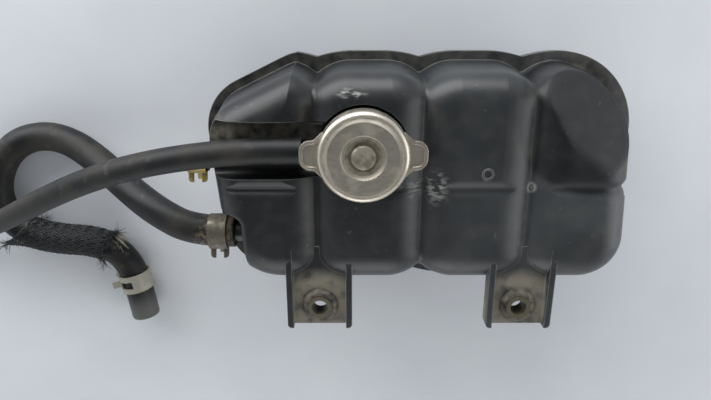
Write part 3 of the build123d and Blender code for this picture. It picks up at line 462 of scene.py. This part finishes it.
    # Painted edge highlights, partly rubbed wear: lighter lines in the scuff colour along sharp edges
    lines = rubbed_and_highlit_edges(tree, radius=0.9 * MM, top=0.4)
    lines = node(tree, "ShaderNodeMath", {0: lines, 1: facet}, operation="SUBTRACT", use_clamp=True)
    marks = node(tree, "ShaderNodeMath", {0: marks, 1: lines}, operation="MAXIMUM")
    worn = node(tree, "ShaderNodeMix", {0: marks, 6: dusty, 7: colour("scuff")}, out=2, data_type="RGBA")
    rough = node(tree, "ShaderNodeMix", {0: dust, 2: 0.36, 3: 0.85})
    crease = patch(tree, place, CREASE_MIDDLE, (150 * MM, 7 * MM, 14 * MM), solid=0.7, top=0.7)
    rounded = node(tree, "ShaderNodeMath", {0: facet, 1: crease}, operation="MAXIMUM")
    furrow = patch(tree, place, FURROW_MIDDLE, (8 * MM, 36 * MM, 16 * MM), solid=0.7, top=0.6)
    rounded = node(tree, "ShaderNodeMath", {0: rounded, 1: furrow}, operation="MAXIMUM")
    soft = node(tree, "ShaderNodeMapRange", {"Value": rounded, "To Min": 0.7 * MM, "To Max": 6 * MM})
    edges = node(tree, "ShaderNodeBevel", {"Radius": soft}, samples=6)
    # The moulded grain is finer than this; it is drawn at 0.9 mm so that it shows
    texture = mottling(tree, place, size_mm=0.9, detail=2, low=0.2, high=0.8)
    relief = node(
        tree,
        "ShaderNodeBump",
        {"Height": texture, "Distance": 0.04 * MM, "Strength": 0.3, "Normal": edges},
    )
    finish_shader(tree, shader, Base_Color=worn, Roughness=rough, Normal=relief)
    return material


def cured_hose():
    """EPDM rubber hose, extruded over yarn and cured on a mandrel."""
    # Dull black with a wide soft highlight, brown dust along it, and crumbs of dirt by the nozzle's clamp
    material, tree, shader, place = new_material("cured_hose")
    soil = mottling(tree, place, size_mm=22, detail=5, low=0.42, high=0.75, top=0.5)
    caked = patch(tree, place, NOZZLE_CLAMP, (19 * MM, 19 * MM, 19 * MM), solid=0.5, top=0.8)
    crust = mottling(tree, place, size_mm=3, detail=5, low=0.35, high=0.65)
    caked = node(tree, "ShaderNodeMath", {0: caked, 1: crust}, operation="MULTIPLY")
    soil = node(tree, "ShaderNodeMath", {0: soil, 1: caked}, operation="ADD", use_clamp=True)
    dusty = node(
        tree, "ShaderNodeMix", {0: soil, 6: colour("rubber"), 7: colour("soil")}, out=2, data_type="RGBA"
    )
    rubbed = patch(tree, place, FEED_ROUTE[-1], (26 * MM, 26 * MM, 26 * MM), solid=0.3, top=0.2)
    specks = mottling(tree, place, size_mm=7, detail=7, low=0.6, high=0.8, top=0.1)
    specks = node(tree, "ShaderNodeMath", {0: specks, 1: rubbed}, operation="MAXIMUM")
    worn = node(tree, "ShaderNodeMix", {0: specks, 6: dusty, 7: colour("scuff")}, out=2, data_type="RGBA")
    crumbs = mottling(tree, place, size_mm=3, detail=4, low=0.42, high=0.6)
    crumbs = node(tree, "ShaderNodeMath", {0: crumbs, 1: caked}, operation="MULTIPLY")
    worn = node(tree, "ShaderNodeMix", {0: crumbs, 6: worn, 7: colour("crumb")}, out=2, data_type="RGBA")
    rough = node(tree, "ShaderNodeMix", {0: soil, 2: 0.48, 3: 0.8})
    shader.inputs["Specular IOR Level"].default_value = 0.35
    texture = mottling(tree, place, size_mm=1.1, detail=2, low=0.2, high=0.8)
    relief = node(tree, "ShaderNodeBump", {"Height": texture, "Distance": 0.06 * MM, "Strength": 0.35})
    finish_shader(tree, shader, Base_Color=worn, Roughness=rough, Normal=relief)
    return material


def moulded_rubber():
    """Compression-moulded rubber of the grommets and seals."""
    # Flat black under the same dry dust as the legs round it
    material, tree, shader, place = new_material("moulded_rubber")
    film = mottling(tree, place, size_mm=5, detail=6, low=0.3, high=0.65, top=0.8)
    dusty = node(
        tree, "ShaderNodeMix", {0: film, 6: colour("rubber"), 7: colour("dust")}, out=2, data_type="RGBA"
    )
    texture = mottling(tree, place, size_mm=0.8, detail=2, low=0.35, high=0.65)
    relief = node(tree, "ShaderNodeBump", {"Height": texture, "Distance": 0.05 * MM, "Strength": 0.4})
    shader.inputs["Roughness"].default_value = 0.8
    finish_shader(tree, shader, Base_Color=dusty, Normal=relief)
    return material


def pressed_stainless():
    """Stainless sheet, drawn and curled in a press."""
    # Soft grey sheen with fine wipe marks, a brown film in the dish, dull stains, painted shade in rings at
    # the button and the rim's foot, and clean bright edges
    material, tree, shader, place = new_material("pressed_stainless")
    dish = patch(tree, place, CAP_TOP, (13 * MM, 13 * MM, 12 * MM), solid=0.7, top=0.9)
    cloud = mottling(tree, place, size_mm=5, detail=5, low=0.15, high=0.6)
    film = node(tree, "ShaderNodeMath", {0: dish, 1: cloud}, operation="MULTIPLY")
    stain_and_shade = mottling(tree, place, size_mm=9, detail=6, low=0.5, high=0.78, top=0.4)
    flat = node(tree, "ShaderNodeVectorMath", {0: place, 1: (1, 1, 0)}, operation="MULTIPLY")
    axis_foot = (CAP_MIDDLE.x, CAP_MIDDLE.y, 0)
    offset = node(tree, "ShaderNodeVectorMath", {0: flat, 1: axis_foot}, operation="SUBTRACT")
    from_axis = node(tree, "ShaderNodeVectorMath", {0: offset}, out="Value", operation="LENGTH")
    for ring in PAINTED_SHADE_RINGS:
        gap = node(tree, "ShaderNodeMath", {0: from_axis, 1: ring}, operation="SUBTRACT")
        gap = node(tree, "ShaderNodeMath", {0: gap}, operation="ABSOLUTE")
        # Painted shade: a dark ring in the crust colour at this crease, broken up by the clouds
        line = node(
            tree,
            "ShaderNodeMapRange",
            {"Value": gap, "From Min": PAINTED_SHADE_WIDTH, "From Max": 0.0, "To Max": 0.9},
        )
        line = node(tree, "ShaderNodeMath", {0: line, 1: cloud}, operation="MULTIPLY")
        stain_and_shade = node(tree, "ShaderNodeMath", {0: stain_and_shade, 1: line}, operation="MAXIMUM")
    # From here dirt also holds the painted shade rings
    dirt = node(tree, "ShaderNodeMath", {0: film, 1: stain_and_shade}, operation="ADD", use_clamp=True)
    bright = rubbed_and_highlit_edges(tree, radius=0.5 * MM, top=1.0)
    dirt = node(tree, "ShaderNodeMath", {0: dirt, 1: bright}, operation="SUBTRACT", use_clamp=True)
    tint = node(
        tree, "ShaderNodeMix", {0: dirt, 6: colour("stainless"), 7: colour("crust")}, out=2, data_type="RGBA"
    )
    metal = node(tree, "ShaderNodeMix", {0: dirt, 2: 1.0, 3: 0.3})
    wiped = node(tree, "ShaderNodeMapping", {"Vector": place, "Scale": (1, 14, 1)})
    wipe = mottling(tree, wiped, size_mm=4, detail=4, low=0.3, high=0.7)
    sheen = node(tree, "ShaderNodeMix", {0: wipe, 2: 0.30, 3: 0.44})
    rough = node(tree, "ShaderNodeMix", {0: dirt, 2: sheen, 3: 0.7})
    edges = node(tree, "ShaderNodeBevel", {"Radius": 0.4 * MM}, samples=4)
    dents = mottling(tree, place, size_mm=2.5, detail=3, low=0.35, high=0.65)
    relief = node(
        tree,
        "ShaderNodeBump",
        {"Height": dents, "Distance": 0.03 * MM, "Strength": 0.3, "Normal": edges},
    )
    finish_shader(tree, shader, Base_Color=tint, Metallic=metal, Roughness=rough, Normal=relief)
    return material


def plated_steel(name, tint, cover, grime):
    """Electroplated strip or wire, with a share of its surface under dry dirt."""
    # Soft metal sheen that breaks up into a flat cover where the dirt lies
    material, tree, shader, place = new_material(name)
    dirt = mottling(tree, place, size_mm=4, detail=6, low=0.6 - 0.5 * grime, high=0.65, top=grime)
    dusty = node(tree, "ShaderNodeMix", {0: dirt, 6: colour(tint), 7: colour(cover)}, out=2, data_type="RGBA")
    metal = node(tree, "ShaderNodeMix", {0: dirt, 2: 0.9, 3: 0.15})
    rough = node(tree, "ShaderNodeMix", {0: dirt, 2: 0.36, 3: 0.8})
    edges = node(tree, "ShaderNodeBevel", {"Radius": 0.3 * MM}, samples=4)
    pits = mottling(tree, place, size_mm=1.2, detail=3, low=0.35, high=0.65)
    relief = node(
        tree,
        "ShaderNodeBump",
        {"Height": pits, "Distance": 0.03 * MM, "Strength": 0.3, "Normal": edges},
    )
    finish_shader(tree, shader, Base_Color=dusty, Metallic=metal, Roughness=rough, Normal=relief)
    return material


def braided_monofilament():
    """Nylon monofilament, braided in flat bundles."""
    # Dark strands with a bright dash where each one rises over the next, dust between them, a bleached tuft
    material, tree, shader, place = new_material("braided_monofilament")
    pale = mottling(tree, place, size_mm=1.6, detail=4, low=0.58, high=0.78, top=0.4)
    braid_end = route_points(FEED_ROUTE)[BRAID_LAST_KNOT * ROUTE_STEPS]
    wisp = patch(tree, place, braid_end + WISP_OFFSET, (13 * MM, 13 * MM, 13 * MM), solid=0.7)
    dusty = node(
        tree, "ShaderNodeMix", {0: pale, 6: colour("braid"), 7: colour("dust")}, out=2, data_type="RGBA"
    )
    faded = node(tree, "ShaderNodeMix", {0: wisp, 6: dusty, 7: colour("wisp")}, out=2, data_type="RGBA")
    ribs = mottling(tree, place, size_mm=0.5, detail=2, low=0.35, high=0.65)
    relief = node(tree, "ShaderNodeBump", {"Height": ribs, "Distance": 0.04 * MM, "Strength": 0.4})
    shader.inputs["Roughness"].default_value = 0.34
    finish_shader(tree, shader, Base_Color=faded, Normal=relief)
    return material


def floor_paint():
    """Smooth pale floor paint, rolled on."""
    # Even pale grey with faint broad clouds
    material, tree, shader, place = new_material("floor_paint")
    clouds = mottling(tree, place, size_mm=90, detail=4, low=0.35, high=0.65)
    tint = node(
        tree,
        "ShaderNodeMix",
        {0: clouds, 6: colour("floor"), 7: colour("floor_shade")},
        out=2,
        data_type="RGBA",
    )
    shader.inputs["Roughness"].default_value = 0.6
    finish_shader(tree, shader, Base_Color=tint)
    return material


def finish_for(name):
    """Material of a finish by its name, made the first time it is asked for."""
    plated = {
        "zinc_strip": ("zinc", "pale_dirt", 0.85),
        "caked_strip": ("dust", "soil", 0.7),
        "zinc_sleeve": ("crust", "soil", 0.6),
        "chromate_strip": ("chromate", "pale_dirt", 0.5),
        "bright_spring_steel": ("spring", "dust", 0.05),
        "turned_brass": ("brass", "dust", 0.05),
    }
    makers = {
        "moulded_nylon": moulded_nylon,
        "cured_hose": cured_hose,
        "moulded_rubber": moulded_rubber,
        "pressed_stainless": pressed_stainless,
        "braided_monofilament": braided_monofilament,
        "floor_paint": floor_paint,
    }
    made = bpy.data.materials.get(name)
    if made:
        return made
    if name in plated:
        return plated_steel(name, *plated[name])
    return makers[name]()


def coat(obj, finish):
    """Gives an object one finish."""
    obj.data.materials.clear()
    obj.data.materials.append(finish_for(finish))


def route_curve(name, route, bevel_radius):
    """Curve object along a route, a smooth spline with the route's points as its control points."""
    curve = bpy.data.curves.new(name, "CURVE")
    curve.dimensions = "3D"
    curve.resolution_u = ROUTE_STEPS
    curve.bevel_depth = bevel_radius
    curve.bevel_resolution = 7
    spline = curve.splines.new("NURBS")
    spline.points.add(len(route) - 1)
    for point, place in zip(spline.points, route):
        point.co = (*place, 1.0)
    spline.order_u = 3
    spline.use_endpoint_u = True
    obj = bpy.data.objects.new(name, curve)
    bpy.context.scene.collection.objects.link(obj)
    return obj


def route_points(route):
    """Points along a route's smooth line, closely spaced."""
    line = route_curve("route_line", route, 0.0)
    mesh = bpy.data.meshes.new_from_object(line)
    points = [vertex.co.copy() for vertex in mesh.vertices]
    bpy.data.objects.remove(line)
    bpy.data.meshes.remove(mesh)
    return points


def select_only(obj):
    """Makes one object the selected and active one."""
    bpy.ops.object.select_all(action="DESELECT")
    obj.select_set(True)
    bpy.context.view_layer.objects.active = obj


def hose_tube(name, route, diameter, wall):
    """Open-ended hose with a real wall and softened rims."""
    obj = route_curve(name, route, diameter / 2)
    select_only(obj)
    bpy.ops.object.convert(target="MESH")
    obj = bpy.context.view_layer.objects.active
    obj.name = name
    bpy.ops.object.mode_set(mode="EDIT")
    bpy.ops.mesh.select_all(action="SELECT")
    bpy.ops.mesh.remove_doubles(threshold=MERGE_DISTANCE)
    bpy.ops.mesh.normals_make_consistent(inside=False)
    bpy.ops.object.mode_set(mode="OBJECT")
    shell = obj.modifiers.new("wall", "SOLIDIFY")
    shell.thickness = wall
    shell.offset = -1
    bpy.ops.object.modifier_apply(modifier=shell.name)
    rim = obj.modifiers.new("rim", "BEVEL")
    rim.width = wall * RIM_SHARE
    rim.segments = 2
    rim.limit_method = "ANGLE"
    rim.angle_limit = RIM_ANGLE
    bpy.ops.object.modifier_apply(modifier=rim.name)
    bpy.ops.object.shade_smooth()
    return obj


def path_frames(points):
    """Point, direction and two steady side directions along a line."""
    frames = []
    side = Vector((0, 0, 1))
    for i, point in enumerate(points):
        ahead = points[min(i + 1, len(points) - 1)] - points[max(i - 1, 0)]
        along = ahead.normalized()
        side = (side - along * side.dot(along)).normalized()
        frames.append((point, along, side, along.cross(side)))
    return frames


class MeshLists:
    """Points and faces gathered into one mesh."""

    def __init__(self):
        self.points = []
        self.faces = []

    def add_tube(self, rings):
        """Adds a closed tube through rings of equally many points, capped at both ends."""
        start = len(self.points)
        count = len(rings[0])
        for ring in rings:
            self.points.extend(ring)
        for i in range(len(rings) - 1):
            for j in range(count):
                a = start + i * count + j
                b = start + i * count + (j + 1) % count
                self.faces.append((a, b, b + count, a + count))
        self.faces.append(tuple(start + j for j in reversed(range(count))))
        last = start + (len(rings) - 1) * count
        self.faces.append(tuple(last + j for j in range(count)))

    def to_object(self, name):
        """Mesh object of all that was gathered."""
        mesh = bpy.data.meshes.new(name)
        mesh.from_pydata(self.points, [], self.faces)
        obj = bpy.data.objects.new(name, mesh)
        bpy.context.scene.collection.objects.link(obj)
        select_only(obj)
        bpy.ops.object.mode_set(mode="EDIT")
        bpy.ops.mesh.select_all(action="SELECT")
        bpy.ops.mesh.normals_make_consistent(inside=False)
        bpy.ops.object.mode_set(mode="OBJECT")
        bpy.ops.object.shade_smooth()
        return obj


def strand_rings(line, normals, width, thickness):
    """Flat oval rings along a strand's line."""
    rings = []
    for i, (point, normal) in enumerate(zip(line, normals)):
        along = (line[min(i + 1, len(line) - 1)] - line[max(i - 1, 0)]).normalized()
        across = along.cross(normal).normalized()
        rings.append([
            point + across * (width / 2 * math.cos(turn)) + normal * (thickness / 2 * math.sin(turn))
            for turn in (math.tau * k / STRAND_SIDES for k in range(STRAND_SIDES))
        ])
    return rings


def strand_line(frames, sizes, way, carrier, shift):
    """Line of one strand that winds round a path, over and under the strands that wind the other way."""
    count = sizes.braid_carriers
    lift = sizes.strand_thickness * WEAVE_LIFT
    last = len(frames) - 1
    line = []
    normals = []
    run = 0.0
    for i, (point, _, side, other) in enumerate(frames):
        run += (point - frames[max(i - 1, 0)][0]).length
        wind = math.tau * run / sizes.braid_lead
        turn = math.tau * (carrier + shift) / count + way * wind
        crossing = 2 * carrier + 2 * way * wind * count / math.tau
        weave = way * lift * math.cos(math.pi * crossing)
        opened = max(0.0, 1 - i / (last * WORN_SHARE)) ** 2
        outward = side * math.cos(turn) + other * math.sin(turn)
        radius = sizes.braid_radius + weave + opened * sizes.braid_flare
        place = point + outward * radius + WORN_DRIFT * opened
        place.z = max(place.z, sizes.strand_thickness)
        line.append(place)
        normals.append(outward)
    return line, normals


def fibre_rings(start, direction, length, bend, radius):
    """Thin rings of one loose fibre that curls away from its start."""
    rings = []
    point = start
    heading = direction.normalized()
    for i in range(FIBRE_STEPS + 1):
        side = heading.orthogonal().normalized()
        other = heading.cross(side)
        thin = radius * (1 - FIBRE_TAPER * i / FIBRE_STEPS)
        rings.append([
            point + side * (thin * math.cos(turn)) + other * (thin * math.sin(turn))
            for turn in (math.tau * k / FIBRE_SIDES for k in range(FIBRE_SIDES))
        ])
        point = point + heading * (length / FIBRE_STEPS)
        heading = (heading + bend * (1 / FIBRE_STEPS)).normalized()
        point.z = max(point.z, 3 * radius)
    return rings


class TANK_OT_hoses(bpy.types.Operator):
    """Vent hose and feed hose along their routes, with real walls and open ends"""

    bl_idname = "tank.hoses"
    bl_label = "Hoses"

    def execute(self, context):
        sizes = context.scene.tank_sizes
        for node_name, route, diameter, wall in (
            ("vent_hose", VENT_ROUTE, sizes.vent_diameter, sizes.vent_wall),
            ("feed_hose", FEED_ROUTE, sizes.feed_diameter, sizes.feed_wall),
        ):
            hose = hose_tube(f"{node_name}_tube", route, diameter, wall)
            coat(hose, "cured_hose")
            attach(hose, "tank")
            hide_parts(node_name)
        return {"FINISHED"}


class TANK_OT_braid(bpy.types.Operator):
    """Braided nylon sleeve on the feed hose, woven strand by strand, with frayed ends"""

    bl_idname = "tank.braid"
    bl_label = "Braided sleeve"

    def execute(self, context):
        sizes = context.scene.tank_sizes
        draw = random.Random(BRAID_SEED)
        points = route_points(FEED_ROUTE)
        covered = points[BRAID_FIRST_KNOT * ROUTE_STEPS:BRAID_LAST_KNOT * ROUTE_STEPS + 1]
        frames = path_frames(covered)
        lists = MeshLists()
        for way in (1, -1):
            for carrier in range(sizes.braid_carriers):
                for shift in (-STRAND_SHIFT, STRAND_SHIFT):
                    line, normals = strand_line(frames, sizes, way, carrier, shift)
                    first = draw.randint(0, RAGGED_SAMPLES)
                    last = len(line) - draw.randint(0, RAGGED_SAMPLES)
                    line = line[first:last]
                    normals = normals[first:last]
                    rings = strand_rings(line, normals, sizes.strand_width, sizes.strand_thickness)
                    lists.add_tube(rings)
                    for tip, root in ((0, 1), (-1, -2)):
                        heading = (line[tip] - line[root]).normalized()
                        for _ in range(FIBRES_AT_A_TIP):
                            loose = Vector((draw.uniform(-1, 1), draw.uniform(-1, 1), draw.uniform(-0.6, 1)))
                            away = heading + loose * FRAY_SPREAD + normals[tip] * FRAY_LIFT
                            reach = sizes.fray_length * draw.uniform(0.25, 1.0)
                            curl = loose * FRAY_CURL
                            lists.add_tube(fibre_rings(line[tip], away, reach, curl, sizes.fibre_radius))
        middle, _, _, inner = frames[-1]
        tuft_root = middle - inner * sizes.braid_radius
        lists.add_tube(fibre_rings(tuft_root, STRAY_HEADING, STRAY_LENGTH, STRAY_BEND, sizes.fibre_radius))
        for _ in range(TUFT_FIBRES):
            loose = Vector((draw.uniform(-1, 1), draw.uniform(-1, 1), draw.uniform(-0.5, 1)))
            root = tuft_root + loose * TUFT_ROOT_SPREAD
            away = STRAY_HEADING + loose * TUFT_SPREAD
            reach = TUFT_LENGTH * draw.uniform(0.3, 1.0)
            lists.add_tube(fibre_rings(root, away, reach, loose * TUFT_CURL, sizes.fibre_radius))
        braid = lists.to_object("braid_weave")
        coat(braid, "braided_monofilament")
        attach(braid, "tank")
        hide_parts("braid_sleeve")
        return {"FINISHED"}


class TANK_OT_seam(bpy.types.Operator):
    """Thin uneven bead squeezed out of the weld, all round between the two flanges"""

    bl_idname = "tank.seam"
    bl_label = "Weld bead"

    def execute(self, context):
        sizes = context.scene.tank_sizes
        mesh = frame["nodes"]["lower_shell"].data.copy()
        bead = bpy.data.objects.new("weld_bead", mesh)
        context.scene.collection.objects.link(bead)
        select_only(bead)
        bpy.ops.object.mode_set(mode="EDIT")
        bpy.ops.mesh.select_all(action="SELECT")
        bpy.ops.mesh.remove_doubles(threshold=MERGE_DISTANCE)
        bpy.ops.mesh.select_all(action="SELECT")
        bpy.ops.mesh.bisect(
            plane_co=(0, 0, SEAM_Z - BEAD_DROP), plane_no=(0, 0, 1), clear_inner=True, clear_outer=True
        )
        bpy.ops.mesh.select_all(action="DESELECT")
        bpy.ops.object.mode_set(mode="OBJECT")
        outermost = max(mesh.vertices, key=lambda vertex: vertex.co.y)
        outermost.select = True
        bpy.ops.object.mode_set(mode="EDIT")
        bpy.ops.mesh.select_linked()
        bpy.ops.mesh.select_all(action="INVERT")
        bpy.ops.mesh.delete(type="VERT")
        bpy.ops.mesh.select_all(action="SELECT")
        bpy.ops.mesh.subdivide(number_cuts=4)
        bpy.ops.object.mode_set(mode="OBJECT")
        bpy.ops.object.convert(target="CURVE")
        bead.data.bevel_depth = sizes.bead_radius
        bead.data.bevel_resolution = 1
        bpy.ops.object.convert(target="MESH")
        bead = context.active_object
        uneven = bpy.data.textures.new("bead_unevenness", "CLOUDS")
        uneven.noise_scale = BEAD_LUMP
        squeeze = bead.modifiers.new("squeeze", "DISPLACE")
        squeeze.texture = uneven
        squeeze.strength = sizes.bead_radius * BEAD_LUMP_SHARE
        bpy.ops.object.modifier_apply(modifier=squeeze.name)
        bpy.ops.object.shade_smooth()
        coat(bead, "moulded_nylon")
        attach(bead, "tank")
        return {"FINISHED"}


class TANK_OT_nub(bpy.types.Operator):
    """Small domed nub left by the mould where two grooves cross"""

    bl_idname = "tank.nub"
    bl_label = "Moulded nub"

    def execute(self, context):
        radius = context.scene.tank_sizes.nub_radius
        bpy.ops.object.select_all(action="DESELECT")
        bpy.ops.mesh.primitive_cylinder_add(
            vertices=28, radius=radius, depth=radius, location=GROOVE_CROSSING
        )
        nub = context.active_object
        nub.name = "moulded_nub"
        bpy.ops.object.transform_apply(location=True, rotation=False, scale=False)
        top = max(vertex.co.z for vertex in nub.data.vertices)
        for edge in nub.data.edges:
            edge.select = all(nub.data.vertices[v].co.z > top - MERGE_DISTANCE for v in edge.vertices)
        bpy.ops.object.mode_set(mode="EDIT")
        bpy.ops.mesh.select_mode(type="EDGE")
        bpy.ops.mesh.bevel(offset=radius * NUB_ROUNDING, segments=5)
        bpy.ops.object.mode_set(mode="OBJECT")
        bpy.ops.object.shade_smooth_by_angle(angle=NUB_SMOOTH_ANGLE)
        coat(nub, "moulded_nylon")
        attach(nub, "tank")
        return {"FINISHED"}


class TANK_OT_springs(bpy.types.Operator):
    """Coils of both relief valves, copied from the solid parts and attached to the cap's bodies"""

    bl_idname = "tank.springs"
    bl_label = "Valve springs"

    def execute(self, context):
        for node_name, body, joint, travel, seated_end in (
            ("pressure_spring", "cap_core", "pressure_relief", PRESSURE_TRAVEL, 1),
            ("vacuum_spring", "pressure_valve", "vacuum_relief", VACUUM_TRAVEL, 0),
        ):
            coil = bpy.data.objects.new(f"{node_name}_coil", frame["nodes"][node_name].data.copy())
            context.scene.collection.objects.link(coil)
            coat(coil, "bright_spring_steel")
            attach(coil, body)
            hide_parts(node_name)
            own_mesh(coil)
        return {"FINISHED"}


class TANK_OT_cords(bpy.types.Operator):
    """Works out the points along both hoses' routes"""

    bl_idname = "tank.cords"
    bl_label = "Hose lengths"

    def execute(self, context):
        vent = route_points(VENT_ROUTE)
        feed = route_points(FEED_ROUTE)
        return {"FINISHED"}


class TANK_OT_finishes(bpy.types.Operator):
    """Gives every solid part its finish"""

    bl_idname = "tank.finishes"
    bl_label = "Finishes"

    def execute(self, context):
        finishes = {
            "moulded_nylon": ["upper_shell", "lower_shell", "filler_neck"],
            "pressed_stainless": ["cap_crown", "cap_rivet"],
            "bright_spring_steel": ["cap_diaphragm", "spring_bell", "pressure_plate"],
            "turned_brass": ["vacuum_valve"],
            "moulded_rubber": ["cap_top_seal", "pressure_seal", "left_grommet", "right_grommet"],
            "zinc_sleeve": ["left_sleeve", "right_sleeve"],
            "caked_strip": ["nozzle_clamp"],
            "zinc_strip": ["hose_end_clamp"],
            "chromate_strip": ["spare_clamp"],
            "cured_hose": ["spare_plug"],
        }
        for finish, names in finishes.items():
            for name in names:
                coat(frame["nodes"][name], finish)
        return {"FINISHED"}


class TANK_OT_stage(bpy.types.Operator):
    """Pale floor, soft lights and the camera"""

    bl_idname = "tank.stage"
    bl_label = "Stage"

    def execute(self, context):
        scene = context.scene
        studio = scene.studio
        bpy.ops.object.select_all(action="DESELECT")
        bpy.ops.mesh.primitive_plane_add(size=FLOOR_SIZE, location=(0, 0, 0))
        floor = context.active_object
        floor.name = "studio_floor"
        coat(floor, "floor_paint")
        for name, power, width, place in (
            ("rear_light", studio.rear_power, 2.0, (-0.5, 1.0, 0.33)),
            ("right_light", studio.right_power, 0.9, (1.0, -0.1, 0.5)),
            ("front_light", studio.front_power, 0.9, (-0.1, -1.0, 0.6)),
        ):
            bpy.ops.object.light_add(type="AREA", location=place)
            lamp = context.active_object
            lamp.name = name
            lamp.data.energy = power
            lamp.data.shape = "RECTANGLE"
            lamp.data.size = width
            lamp.data.size_y = LIGHT_HEIGHT
            lamp.rotation_euler = (LIGHT_AIM - Vector(place)).to_track_quat("-Z", "Y").to_euler()
        world = bpy.data.worlds.new("studio_surround")
        scene.world = world
        world.use_nodes = True
        tree = world.node_tree
        background = tree.nodes["Background"]
        background.inputs["Color"].default_value = colour("surround")
        direction = node(tree, "ShaderNodeTexCoord", out="Generated")
        height = node(tree, "ShaderNodeSeparateXYZ", {0: direction}, out="Z")
        strength = node(
            tree,
            "ShaderNodeMapRange",
            {
                "Value": height, "From Min": HORIZON_SINE, "From Max": ZENITH_SINE,
                "To Min": studio.horizon, "To Max": studio.zenith,
            },
        )
        tree.links.new(strength, background.inputs["Strength"])
        bpy.ops.object.camera_add(location=CAMERA_PLACE, rotation=(studio.tilt, 0, 0))
        camera = context.active_object
        camera.data.lens = studio.lens
        camera.data.sensor_width = SENSOR_WIDTH_MM
        camera.data.clip_start = NEAREST_SEEN
        scene.camera = camera
        scene.view_settings.view_transform = "Standard"
        return {"FINISHED"}


class TANK_PT_panel(bpy.types.Panel):
    """Lists the tank's pieces and settings"""

    bl_label = "Coolant expansion tank"
    bl_idname = "TANK_PT_panel"
    bl_space_type = "VIEW_3D"
    bl_region_type = "UI"
    bl_category = "Tank"

    def draw(self, context):
        for operator in OPERATORS:
            self.layout.operator(operator.bl_idname)
        for group in (context.scene.tank_sizes, context.scene.tank_colours, context.scene.studio):
            for name in group.__annotations__:
                self.layout.prop(group, name)


GROUPS = {"tank_sizes": TankSizes, "tank_colours": TankColours, "studio": StudioSettings}
OPERATORS = (
    TANK_OT_stage, TANK_OT_finishes, TANK_OT_hoses, TANK_OT_braid, TANK_OT_seam, TANK_OT_nub, TANK_OT_springs,
    TANK_OT_cords,
)


def register():
    """Registers the settings, operators and panel."""
    for name, group in GROUPS.items():
        bpy.utils.register_class(group)
        setattr(bpy.types.Scene, name, PointerProperty(type=group))
    for operator in OPERATORS:
        bpy.utils.register_class(operator)
    bpy.utils.register_class(TANK_PT_panel)


def unregister():
    """Removes the panel, operators and settings."""
    bpy.utils.unregister_class(TANK_PT_panel)
    for operator in reversed(OPERATORS):
        bpy.utils.unregister_class(operator)
    for name, group in GROUPS.items():
        delattr(bpy.types.Scene, name)
        bpy.utils.unregister_class(group)


def main():
    """Builds the dressed tank."""
    register()
    bpy.ops.tank.stage()
    bpy.ops.tank.finishes()
    bpy.ops.tank.hoses()
    bpy.ops.tank.braid()
    bpy.ops.tank.seam()
    bpy.ops.tank.nub()
    bpy.ops.tank.springs()
    bpy.ops.tank.cords()


if __name__ == "__main__":
    main()
